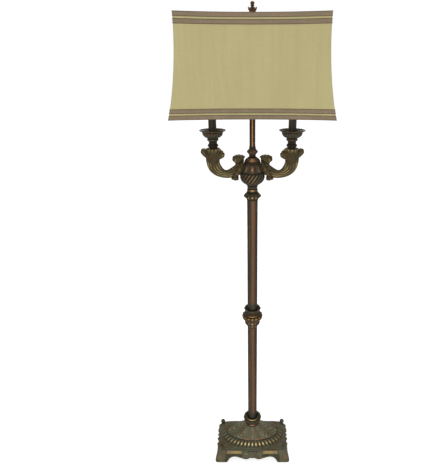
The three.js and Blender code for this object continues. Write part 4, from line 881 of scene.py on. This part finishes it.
def build_socket(side, x):
    """Socket: post, body in the sleeve, and a stepped collar round the bulb's bore."""
    low = span(f"candle_sleeve_{side}")[0]
    tall = height_of(f"socket_{side}")
    sleeve = height_of(f"candle_sleeve_{side}")
    collar = sleeve + 0.3
    profile = [(4, 0), (4, sleeve - 34), (9.9, sleeve - 34), (9.9, collar), (12, collar), (12, collar + 3),
               (11.4, collar + 4), (11.4, collar + 17), (11.8, tall - 5), (11.8, tall - 1), (11.2, tall),
               (6.3, tall), (6.3, tall - 15), (0.05, tall - 15), (0.05, 0)]
    radius, up = np.array(profile).T[:, :, None]
    grid = rings(radius, spin(64), up + low, x)
    Form().add(grid, loop=True).make(f"socket_turned_{side}", f"socket_{side}", PHENOLIC)


def build_key(side):
    """Turn key: a round axle with a fluted paddle."""
    node = f"socket_key_{side}"
    low, high = (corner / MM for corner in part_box(node))
    x, far, z = (low.x + high.x) / 2, low.y, (low.z + high.z) / 2
    axle = np.array([(0.02, high.y), (1, high.y), (1, far + 7), (0.02, far + 7)])
    paddle = smooth([(0.3, far + 7.5), (0.7, far + 6.5), (1, far + 4), (0.95, far + 1.4), (0.7, far + 0.3),
                     (0.1, far)], 4)
    angle = spin(24)
    form = Form()
    for line, wide, flat in ((axle, 1.65, 1.65), (paddle, 5.9, 1.4 * (1 + 0.12 * np.cos(8 * angle)))):
        share, y = line.T[:, :, None]
        across = x + wide * share * np.cos(angle)
        grid = np.stack(np.broadcast_arrays(across, y, z + flat * share * np.sin(angle)), axis=2)
        form.add(*facing_out(grid))
    form.make(f"socket_key_paddle_{side}", node, PHENOLIC, f"key_{side}")


for side_name, sign in SIDES.items():
    build_arm(side_name, sign)
    build_candle(side_name, sign * ARM_REACH)
    build_key(side_name)


# Finial
WING_LINE = [(8, 0.56), (9, 0.64), (11.5, 0.69), (13.4, 0.725), (14.2, 0.75), (14.4, 0.775)]
WING_WIDTH, WING_THICK = 3.3, 1.4


def finial_relief(angle, share, radius):
    """Four leaves up the pear, with curved leaflets that meet in valleys."""
    off = np.abs(fold(angle, math.pi / 2))
    body = window(share, 0.2, 0.66, 0.04)
    spine = hill(off - math.pi / 4, 0.16)
    valley = hill(off, 0.07)
    fingers = 0.5 + 0.5 * np.cos(TURN * (8.5 * share + 1.5 * off))
    height = body * (1.3 * fingers + 1.3 * spine - 1.4 * valley - 0.8)
    lift = 0.4 + body * (0.45 * fingers - 0.5 * valley + 0.1 * spine - 0.25)
    lift = lift + 0.3 * peaks(share, 0.02, 0.02, 0.13, 0.69, 0.86) + 0.2 * step(share, 0.9, 0.95)
    return height, lift, -0.35 * body * fingers


def add_wing(form, turn):
    """A leaf tip with a raised vein that curls out below the ball."""
    low, high = span("finial")
    right, back = math.cos(turn), math.sin(turn)
    line = smooth([(r * right, r * back, low + (high - low) * share) for r, share in WING_LINE], 5)
    share = rows_of(len(line))
    side = np.array([-back, right, 0])
    face = unit(np.cross(side, np.gradient(line, axis=0)))[:, None]
    across = np.linspace(-1, 1, 11)[None]
    swell = 0.62 + 0.38 * np.sin(math.pi * np.clip(share * 1.15, 0, 1) ** 0.8)
    half = WING_WIDTH * swell * (1 - 0.2 * share**3) * (1 - 0.2 * np.sin(math.pi * share) ** 2)
    groove = 0.5 + 0.5 * np.cos(TURN * (share - 0.9 * np.abs(across)))
    vein = hill(across, 0.13)
    cupped = 0.4 * (across**2 - 0.3)
    hold = np.sqrt(np.clip(1 - across**4, 0.02, 1))
    front = line[:, None] + side * (half * across)[:, :, None]
    raised = WING_THICK * (0.55 * groove * np.abs(across) ** 0.5 + 0.8 * vein + 0.5 * hold)
    top = front + face * (cupped + raised)[:, :, None]
    bottom = front + face * (cupped - 0.6 * WING_THICK * hold)[:, :, None]
    lift = np.clip(0.15 + 0.55 * groove + 0.5 * vein, 0, 1)
    grid = np.concatenate([top, bottom[:, ::-1]], axis=1)
    form.add(*facing_out(grid, np.concatenate([lift, np.full(lift.shape, 0.25)], axis=1)))


def finial_wings(form):
    for k in range(4):
        add_wing(form, math.pi / 4 + k * math.pi / 2)


turned("finial_carved", "finial", FINIAL_METAL,
       [(8.8, 0), (9.4, 0.03), (8.8, 0.07), (7.1, 0.1), (7.7, 0.13), (7.1, 0.16), (8.8, 0.19), (13.2, 0.25),
        (14, 0.32), (13.4, 0.42), (10.2, 0.55), (8.5, 0.64), (8.1, 0.7), (7.1, 0.76), (8.2, 0.77),
        (4.3, 0.785), (4, 0.81), (5.8, 0.835), (5.7, 0.85), (3.8, 0.865), (5.1, 0.89), (5.7, 0.93),
        (4.7, 0.97), (2, 0.995), (0.3, 1)],
       [(0.02, 66.5), (5.4, 16), (5.4, 0)], finial_relief, 150, 5, body="finial_knob", extra=finial_wings)


# Base: one skin over feet, apron, top plate, gadroons and dome, closed below. Sizes in millimetres
BASE_LOW = span("base_casting")[0]
FOOT_X, FOOT_Y, FOOT_POWER = 154.0, 83.0, 26.0
RIM_X, RIM_Y, RIM_POWER = 140.6, 69.0, 7.5
RIM_Z, RIM_INSET, RIM_LIFT = 62.0, 3.6, 0.8
PLATE_Z = 66.0
GADROON_X, GADROON_Y = 125.0, 65.0
SHOULDER_X, SHOULDER_Y, SHOULDER_Z = 111.0, 50.0, 86.0
GADROONS = 40
WALL = 7.0
BOW, BOW_REACH = 6.5, 62.0
BUD_X, BUD_Y = 129.6, 63.5
BUD_LINE = [(3.6, 59), (5.4, 61), (8, 63.6), (9.3, 68), (8.6, 72.4), (6, 75.6), (3, 76.9), (0.5, 77.2)]
SIDE_INSET = 5.0
SCALLOP = 6.2
COLUMNS = 520
# Height of the lower edge by the distance from the middle of a side
LONG_ARCH = [(0, 20), (4, 19), (8, 20), (11, 19.5), (17, 16), (24, 14.4), (30, 14.6), (38, 16.8), (52, 21),
             (64, 24.5), (76, 26.2), (86, 24.8), (94, 20.5), (101, 12), (105.5, 0.7)]
SHORT_ARCH = [(0, 22.5), (12, 25), (27, 26.2), (41, 17), (47.3, 0.7)]
# Half length, half width and height of the dome's rings, from the gadroons up to the neck
DOME = [(108, 47.5, 84.5), (99, 45.5, 88.5), (82, 43, 96), (63, 39.5, 107), (47, 36, 118.5),
        (37, 32.5, 128.5), (31, 30.4, 136), (29.4, 29.4, 140)]
# Half length, half width, squareness and height of the rings inside, from the neck's bore down
INSIDE = [(5.6, 5.6, 2, 140), (5.6, 5.6, 2, 132), (21, 21, 2, 131), (29, 25, 2, 95), (60, 34, 2, 85),
          (100, 42, 2, 75), (103, 42, 2, 57), (130, 60, 12, 56), (135.5, 62, 26, 55)]
# Out, up and lift of the rim moulding's rows
RIM_ROWS = [(-0.6, -4, 0.12), (0.3, -2.6, 0.3), (0.8, -1, 0.42), (0.5, 0.5, 0.44), (-0.6, 1.3, 0.42),
            (-2, 0.9, 0.34), (-3.6, 0.8, 0.34)]


def columns_of(table):
    return (np.array(column)[:, None] for column in zip(*table))


def outline(half_x, half_y, power, theta):
    """Points of a rectangle with corners as sharp as the power, or of an ellipse at 2."""
    cos, sin = np.cos(theta), np.sin(theta)
    scale = (np.abs(cos) ** power + np.abs(sin) ** power) ** (-1 / power)
    return half_x * cos * scale, half_y * sin * scale


def even_angle(half_x, half_y):
    """The columns' angle that runs evenly round an ellipse, for lobes of like width."""
    fine = np.linspace(0, TURN, 2001)
    length = length_along(np.stack([half_x * np.cos(fine), half_y * np.sin(fine)], axis=1))
    return TURN * np.interp(THETA % TURN, fine, length) / length[-1]


# The columns stand evenly along the rim
fine_theta = np.linspace(0, TURN, 20001)
rim_length = length_along(np.stack(outline(RIM_X, RIM_Y, FOOT_POWER, fine_theta), axis=1))
THETA = np.interp(np.arange(COLUMNS) * rim_length[-1] / COLUMNS, rim_length, fine_theta)[None]
rim_x, rim_y = outline(RIM_X, RIM_Y, FOOT_POWER, THETA)
LONG_SIDE = np.abs(rim_y) / RIM_Y > np.abs(rim_x) / RIM_X
ALONG = np.where(LONG_SIDE, np.abs(rim_x), np.abs(rim_y))
long_edge = np.interp(ALONG * FOOT_X / RIM_X, *zip(*LONG_ARCH))
EDGE_Z = np.where(LONG_SIDE, long_edge, np.interp(ALONG * FOOT_Y / RIM_Y, *zip(*SHORT_ARCH)))
bump_phase = np.interp(ALONG, [0, 9, 31, 61], [0, 0.5, 1.5, 2.5])
BUMPS = np.where(LONG_SIDE | (ALONG > 61), 0, np.cos(math.pi * bump_phase) ** 2)
BOWED = np.where(LONG_SIDE, 0.5 + 0.5 * np.cos(math.pi * np.clip(ALONG / BOW_REACH, 0, 1)), 0)


def layer(x, y, z, lift, tint_and_highlight=0.0):
    """Rows of the skin, with a lift and a gild for each point."""
    x, y, z, lift, tint_and_highlight = np.broadcast_arrays(x, y, z, lift, tint_and_highlight)
    return np.stack([x, y, z], axis=2), lift, tint_and_highlight


def shaped(half_x, half_y, power, amount):
    """An outline with that share of the rim's scallops at the short sides and bow at the long ones."""
    x, y = outline(half_x, half_y, power, THETA)
    return x + np.sign(x) * BUMPS * SCALLOP * amount, y + np.sign(y) * BOWED * BOW * amount


def apron_size(z):
    """Half sizes at a height: the legs flare to the feet, and the short sides lie back."""
    flare = np.clip((RIM_Z - z) / (RIM_Z - BASE_LOW), 0, 1) ** 1.1
    leg = np.where(LONG_SIDE, 1.0, step(ALONG, 36, 58))
    under = step(RIM_Z - z, 4, 12)
    half_x = RIM_X + (FOOT_X - RIM_X) * flare * leg - SIDE_INSET * under * (1 - leg)
    return half_x, RIM_Y + (FOOT_Y - RIM_Y) * flare


def apron_relief(z):
    """Panels and a shell on the long sides, leaves on the short ones and legs, a bead along the arch."""
    leg = np.where(LONG_SIDE, step(ALONG, 104, 112), step(ALONG, 42, 50))
    above = z - EDGE_Z
    bead = hill(above - 1.8, 1.3) * (1 - leg)
    panel = LONG_SIDE * window(ALONG, 41, 103, 1.6) * window(z, 38.5, 53, 1.2)
    centre = LONG_SIDE * window(ALONG, -1, 37, 2.5) * window(above, 4, 32, 2) * window(z, 18, 54, 2)
    shell = centre * lobes(np.arctan2(rim_x, z - 14), 26, 0.8)
    curls = LONG_SIDE * window(ALONG, 20, 39, 2) * window(z, 36, 56, 2)
    curls = curls * lobes((ALONG - 30) * 0.6 + z * 0.35, 2, 0.7)
    corner = np.where(LONG_SIDE, RIM_X - ALONG, RIM_Y - ALONG)
    leaves = leg * lobes(0.5 * corner - 0.34 * z, 2, 0.7) * window(z, 10, 54, 3)
    side_leaf = ~LONG_SIDE * (1 - leg) * lobes(BUMPS * 2.4 + 0.2 * z, 2, 0.8) * window(z, 34, 56, 3)
    band = leg * window(z, 2, 8, 1.2)
    cut = shell + 0.7 * curls + side_leaf + leaves
    depth = 0.9 * bead + 1.2 * panel + 1.5 * cut + 0.7 * band - 0.7
    lift = 0.22 + 0.4 * bead + 0.6 * panel + 0.42 * cut + 0.3 * band
    border = panel * (1 - LONG_SIDE * window(ALONG, 44, 100, 1) * window(z, 40.6, 50.8, 0.8))
    rosy = window(ALONG, 84, 110, 6)
    # A painted highlight along the middle of each gold panel.
    panel_highlight = window(ALONG, 54, 80, 6)
    pink = leaves * window(z, 16, 36, 6) * window(corner, 4, 20, 5)
    soft = LONG_SIDE * window(ALONG, 44, 100, 5) * window(z, 39.5, 52, 2.4)
    tint_and_highlight = soft * (0.4 + 0.16 * panel_highlight - 0.85 * rosy) - 0.25 * border - 0.22 * band - 0.5 * pink
    return depth * step(above, 0, 0.8), lift, tint_and_highlight


def apron():
    """Legs and apron from the arched lower edge up to the rim."""
    z = EDGE_Z + (RIM_Z - 5 - EDGE_Z) * rows_of(32)
    depth, lift, tint_and_highlight = apron_relief(z)
    half_x, half_y = apron_size(z)
    power = FOOT_POWER + (RIM_POWER - FOOT_POWER) * step(z, 18, 58)
    return layer(*shaped(half_x + depth, half_y + depth, power, step(z, 26, 58)), z, lift, tint_and_highlight)


def rim():
    out, up, lift = columns_of(RIM_ROWS)
    return layer(*shaped(RIM_X + out, RIM_Y + out, RIM_POWER, 1), RIM_Z + up, lift + 0.15 * BUMPS)


def plate():
    """Top plate with low rays from the rim in to the gadroons."""
    share = rows_of(10)[1:] * 0.96
    half_x = RIM_X - RIM_INSET + (GADROON_X + 2 - RIM_X + RIM_INSET) * share
    half_y = RIM_Y - RIM_INSET + (GADROON_Y + 2 - RIM_Y + RIM_INSET) * share
    x, y = shaped(half_x, half_y, RIM_POWER ** (1 - share) * 2**share, 1 - share)
    rays = lobes(np.arctan2(y / GADROON_Y, x / GADROON_X) + 0.25 * np.sin(3 * share), 44, 0.8)
    bulge = np.sin(math.pi * share)
    z = RIM_Z + RIM_LIFT + (PLATE_Z - RIM_Z - RIM_LIFT) * share + 1.6 * (rays - 0.5) * bulge
    return layer(x, y, z, 0.44 + bulge * (0.45 * rays - 0.2))


def gadroons():
    """Ring of slanting gadroons round the dome, with painted highlights on their upper halves, strongest at
    the front and back, and painted shadow at their ends at the front.
    """
    t = rows_of(17)
    swell = np.sin(math.pi * t)
    half_x = GADROON_X + (SHOULDER_X - GADROON_X) * t**1.7 + 3.2 * swell
    half_y = GADROON_Y + (SHOULDER_Y - GADROON_Y) * t**1.5 + 3.2 * swell
    slant = even_angle(GADROON_X, GADROON_Y) - 0.13 * (t - 0.5) * np.sin(2 * THETA)
    ridge = lobes(slant - FRONT, GADROONS, 0.7)
    x, y = outline(half_x, half_y, 2, THETA)
    out_x, out_y = x / half_x**2, y / half_y**2
    cut = 4.4 * (1 - ridge) * swell**0.6
    inward = cut / np.hypot(out_x, out_y)
    z = PLATE_Z + (SHOULDER_Z - PLATE_Z) * (1 - np.cos(math.pi * t)) / 2 - 0.35 * cut
    # Painted shadow: the gadroons and their ends are darker at the front.
    front_shadow = np.clip(0.5 - 0.9 * np.sin(THETA), 0, 1)
    ends = (1 - swell**0.5) * (0.42 - 0.34 * front_shadow)
    lift = 0.14 + 0.07 * (1 - front_shadow) + 0.56 * ridge**3 * swell**0.5 + ends
    # Painted highlight on the upper middle of each ridge.
    painted_gleam = ridge**7 * window(t, 0.4, 0.7, 0.14) * (0.2 + 0.8 * np.abs(np.sin(THETA)) ** 2)
    return layer(x - inward * out_x, y - inward * out_y, z, lift, 1.1 * painted_gleam)


def dome():
    """Eight broad leaves with slanting veins from the gadroons up to the neck."""
    half_x, half_y, z = smooth(DOME, 5).T[:, :, None]
    t = rows_of(len(z))
    off = np.abs(fold(even_angle(SHOULDER_X, SHOULDER_Y) - FRONT, TURN / 8)) / (TURN / 16)
    fade = window(t, 0.05, 0.93, 0.05)
    broad = (1 - off**2) * fade
    veins = (0.5 + 0.5 * np.cos(TURN * (6.5 * t - 1.7 * off))) * fade
    spine = hill(off, 0.07) * fade
    height = 2.0 * broad + 0.9 * veins + 0.8 * spine - 1.6 * fade
    x, y = outline(half_x, half_y, 2, THETA)
    front = window(np.abs(x), -1, 34, 8) * (1 - step(t, 0.02, 0.09))
    rosy = window(np.abs(x), 12, 52, 10) * window(t, 0.04, 0.2, 0.05)
    # Painted shadow: the groove at the dome's foot is darker at the front.
    groove = (1 - step(t, 0, 0.05)) * np.clip(0.5 - 0.9 * np.sin(THETA), 0, 1)
    lift = 0.26 + 0.16 * broad + 0.36 * veins + 0.2 * spine - 0.25 * groove
    tint_and_highlight = -0.85 * front - 0.4 * rosy
    return layer(x * (1 + height / 160), y * (1 + height / 120), z + 0.8 * height, lift, tint_and_highlight)


def inside():
    """Hollow underside, from the neck's bore down to the lower edge."""
    half_x, half_y, power, z = columns_of(INSIDE)
    top = INSIDE[-1][3]
    low_z = top + (EDGE_Z - top) * np.array([0.25, 0.6, 1.0])[:, None]
    wide, deep = apron_size(low_z)
    upper = layer(*outline(half_x, half_y, power, THETA), z, 0.05)
    lower = layer(*outline(wide - WALL, deep - WALL, FOOT_POWER, THETA), low_z, 0.05)
    return [np.concatenate(pair) for pair in zip(upper, lower)]


def build_base():
    parts = zip(apron(), rim(), plate(), gadroons(), dome(), inside())
    form = Form().add(*(np.concatenate(part) for part in parts), loop=True)
    line = smooth(BUD_LINE, 4)
    share = rows_of(len(line))
    folds = lobes(spin(40) + 2 * share, 8, 0.7)
    radius = line[:, :1] * (1 - 0.06 * (1 - folds) * window(share, 0.25, 0.95, 0.1))
    for sx, sy in QUARTERS:
        form.add(rings(radius, spin(40), line[:, 1:], sx * BUD_X, sy * BUD_Y), 0.12 + 0.2 * folds)
    form.make("base_casting_carved", "base_casting", BASE_METAL)


build_base()


# Shade. Sizes in millimetres
SHADE_LOW, SHADE_HIGH = span("shade_fabric")
SHADE_TALL = SHADE_HIGH - SHADE_LOW
TOP_X, TOP_Y = 200.5, 105.0
FLARE_X, FLARE_Y, FLARE_POWER = 27.0, 20.0, 2.2
LONG_SAG, SHORT_SAG = 27.0, 13.0
LONG_STEPS, SHORT_STEPS = 54, 28
LONG_SEAM, SHORT_SEAM = 0.011, 0.021
CORNERS = (0, SHORT_STEPS, SHORT_STEPS + LONG_STEPS, 2 * SHORT_STEPS + LONG_STEPS)
FABRIC_THICK = 1.3
FABRIC_LEVELS = 41
BAND_TALL, BAND_SPACE, BAND_GAP = 12.2, 4.3, 0.3
WIRE_INSET, WIRE_R, SPIDER_R = 3.3, 1.45, 1.65
HUB_R, HUB_BORE, HUB_TALL, HUB_GAP = 15.0, 3.4, 3.0, 0.3
TIP_IN, TIP_GAP, TIP_DOWN = 16.0, 5.55, 3.2


def shade_ring(down, offset):
    """The shade's outline at a share of the way down, moved out; a column lies near each corner."""
    flare = down**FLARE_POWER
    half_x = TOP_X + FLARE_X * flare + offset
    half_y = TOP_Y + FLARE_Y * flare + offset
    ring = []
    for sx, sy in ((1, -1), (1, 1), (-1, 1), (-1, -1)):
        short = sx != sy
        steps, seam = (SHORT_STEPS, SHORT_SEAM) if short else (LONG_STEPS, LONG_SEAM)
        t = np.concatenate([[1], np.linspace(1 - seam, seam - 1, steps - 1)])
        sag = 1 - t * t
        x = sx * (half_x - SHORT_SAG * sag) if short else sx * t * half_x
        y = sy * t * half_y if short else sy * (half_y - LONG_SAG * sag)
        ring.append(np.stack([x, y, SHADE_HIGH - down * SHADE_TALL + 0 * t], axis=1))
    return np.concatenate(ring)


def sharp_corners(piece):
    """Marks the edges that run up the four corners as sharp."""
    count = 2 * (SHORT_STEPS + LONG_STEPS)
    flags = [all(point % count in CORNERS for point in edge.vertices) for edge in piece.data.edges]
    piece.data.attributes.new("sharp_edge", "BOOLEAN", "EDGE").data.foreach_set("value", flags)
    return piece


def build_fabric():
    """Linen outside and lining inside, with the seams' darkness in the lift of the corner columns."""
    levels = np.linspace(0, 1, FABRIC_LEVELS)
    outer = [shade_ring(down, 0.0) for down in levels[::-1]]
    grid = np.array(outer + [shade_ring(down, -FABRIC_THICK) for down in levels])
    lift = np.zeros(grid.shape[:2])
    lift[: len(outer), CORNERS] = 1
    form = Form().add(grid, lift, loop=True)
    piece = form.make("shade_fabric_linen", "shade_fabric", LINEN, "shade")
    piece.data.materials.append(LINING)
    inside_faces = [int(face.index // grid.shape[1] >= len(levels)) for face in piece.data.polygons]
    piece.data.polygons.foreach_set("material_index", inside_faces)
    return sharp_corners(piece)


def build_band(name, top, bottom):
    """Braid with a cord along each edge and a crowned middle, round the shade."""
    across = np.linspace(0, 1, 13)
    cords = hill(across - 0.07, 0.07) + hill(across - 0.93, 0.07)
    crown = BAND_GAP + 0.45 + 0.45 * cords + 0.1 * np.sin(math.pi * across)
    ring_list = [shade_ring(bottom + (top - bottom) * share, out) for share, out in zip(across, crown)]
    ring_list += [shade_ring(down, BAND_GAP) for down in (top, bottom)]
    form = Form().add(np.array(ring_list), np.concatenate([cords, [0, 0]])[:, None], loop=True)
    return sharp_corners(form.make(f"{name}_braid", name, BRAID, "shade"))


def tube_round(line, radius, looped):
    """A round tube along a line of points."""
    ahead = np.roll(line, -1, 0) - np.roll(line, 1, 0) if looped else np.gradient(line, axis=0)
    side = unit(np.cross(ahead, (0, 0, 1.0)))[:, None]
    up = np.cross(side, unit(ahead)[:, None])
    angle = spin(10)[:, :, None]
    return facing_out(line[:, None] + radius * (side * np.cos(angle) + up * np.sin(angle)))


def build_wires():
    for name in ("shade_wire_top", "shade_wire_bottom"):
        low, high = span(name)
        down = (SHADE_HIGH - (low + high) / 2) / SHADE_TALL
        form = Form().add(*tube_round(shade_ring(down, -WIRE_INSET), WIRE_R, True), loop=True)
        form.make(f"{name}_bent", name, WIRE, "shade")


def build_spider():
    """Hub washer and four bent arms up to the top wire."""
    top = span("finial")[0] - HUB_GAP
    low = top - HUB_TALL
    middle = top - HUB_TALL / 2
    washer = [(HUB_R - 1.2, low), (HUB_R, low + 0.8), (HUB_R, top - 0.8), (HUB_R - 1.2, top)]
    form = Form().add(*lathe(washer, [(HUB_BORE, top), (HUB_BORE, low)], 48, steps=3), loop=True)
    tip_x = TOP_X - TIP_IN
    tip_y = TOP_Y - LONG_SAG * (1 - (tip_x / TOP_X) ** 2) - TIP_GAP
    tip_z = SHADE_HIGH - TIP_DOWN
    reach = math.hypot(tip_x, tip_y)
    bends = ((10.5 / reach, middle), (31.5 / reach, middle + 1), (0.8, middle + (tip_z - middle) * 0.55),
             (1, tip_z))
    for sx, sy in QUARTERS:
        line = smooth([(sx * tip_x * share, sy * tip_y * share, z) for share, z in bends], 9)
        form.add(*tube_round(line, SPIDER_R, False))
    form.make("spider_bent", "spider", WIRE, "shade")


fabric = build_fabric()
band = BAND_TALL / SHADE_TALL
second = (BAND_TALL + BAND_SPACE) / SHADE_TALL
bands = [
    build_band("band_top_outer", 0, band),
    build_band("band_top_inner", second, second + band),
    build_band("band_bottom_inner", 1 - second - band, 1 - second),
    build_band("band_bottom_outer", 1 - band, 1),
]
build_wires()
build_spider()

# Carried-over CAD pieces
CAD_FINISH = {
    "base_weight": IRON, "rod_washer": STEEL, "rod_nut": STEEL, "tie_rod": STEEL, "cord_bushing": RUBBER,
    "foot_pad_front_left": RUBBER, "foot_pad_front_right": RUBBER, "foot_pad_back_left": RUBBER,
    "foot_pad_back_right": RUBBER, "stem_seat": BRASS, "finial_insert": BRASS,
}
for node_name, finish in CAD_FINISH.items():
    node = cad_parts[node_name]
    node.data.materials.clear()
    node.data.materials.append(finish)

# Stage: pale floor and white surroundings. Sizes in metres
FLOOR_SIZE = 14
FLOOR_GLOW, GLOW_NEAR, GLOW_FAR = 0.7, 0.5, 4.0
AMBIENT = 0.1
# Name, place and target, size, and power in watts
LIGHTS = (
    ("key", (-0.5, -3.3, 2.2), (0, 0, 0.95), (1.3, 1.5), 50),
    ("front_low", (0.15, -3.1, 0.5), (0, 0, 0.8), (0.5, 0.9), 30),
    ("fill", (1.7, -2.9, 1.4), (0, 0, 0.9), (1.0, 1.8), 12),
    ("above", (0, 0, 3.6), (0, 0, 0), (2.2, 2.2), 22),
    ("back", (0, 3.2, 1.9), (0, 0, 0.9), (1.4, 1.6), 42),
    ("left", (-3.2, 0.4, 1.5), (0, 0, 0.9), (1.4, 1.6), 16),
    ("right", (3.2, 0.4, 1.5), (0, 0, 0.9), (1.4, 1.6), 16),
)


def where_seen(tree):
    """1 for camera, glossy and transmission rays, and 0 for the others."""
    path = tree.add("LightPath").outputs
    seen = tree.maths("MAXIMUM", path["Is Camera Ray"], path["Is Glossy Ray"])
    return tree.maths("MAXIMUM", seen, path["Is Transmission Ray"])


def make_floor():
    """A pale floor that glows where it is seen, more so farther out."""
    tree = Tree(bpy.data.materials.new("stage_floor"))
    distance = tree.add("VectorMath", {0: tree.position()}, operation="LENGTH").outputs["Value"]
    level = tree.ramp(distance, GLOW_NEAR, GLOW_FAR, FLOOR_GLOW, 1.0)
    glow = tree.add("Emission", {"Strength": tree.times(where_seen(tree), level)}).outputs[0]
    diffuse = tree.add("BsdfDiffuse", {"Color": (0.8, 0.8, 0.8, 1)}).outputs[0]
    both = tree.add("AddShader", {0: diffuse, 1: glow}).outputs[0]
    tree.feed(tree.output.inputs["Surface"], both)
    mesh = bpy.data.meshes.new("floor")
    corners = [(x * FLOOR_SIZE, y * FLOOR_SIZE, 0) for x, y in ((-1, -1), (1, -1), (1, 1), (-1, 1))]
    mesh.from_pydata(corners, [], [(0, 1, 2, 3)])
    mesh.materials.append(tree.owner)
    add_object("floor", mesh)


def make_world():
    """White where it is seen, and dim as a light."""
    world = bpy.data.worlds.new("studio")
    bpy.context.scene.world = world
    tree = Tree(world, "OutputWorld")
    inputs = {"Color": (1, 1, 1, 1), "Strength": tree.ramp(where_seen(tree), 0.0, 1.0, AMBIENT, 1.0)}
    tree.feed(tree.output.inputs["Surface"], tree.add("Background", inputs).outputs[0])


def add_light(name, place, target, size, power):
    data = bpy.data.lights.new(name, "AREA")
    data.shape = "RECTANGLE"
    data.size, data.size_y = size
    data.energy = power
    light = add_object(name, data)
    light.location = place
    light.rotation_euler = (Vector(target) - Vector(place)).to_track_quat("-Z", "Y").to_euler()


make_floor()
make_world()
for light_values in LIGHTS:
    add_light(*light_values)

scene = bpy.context.scene
scene.view_settings.view_transform = "Standard"
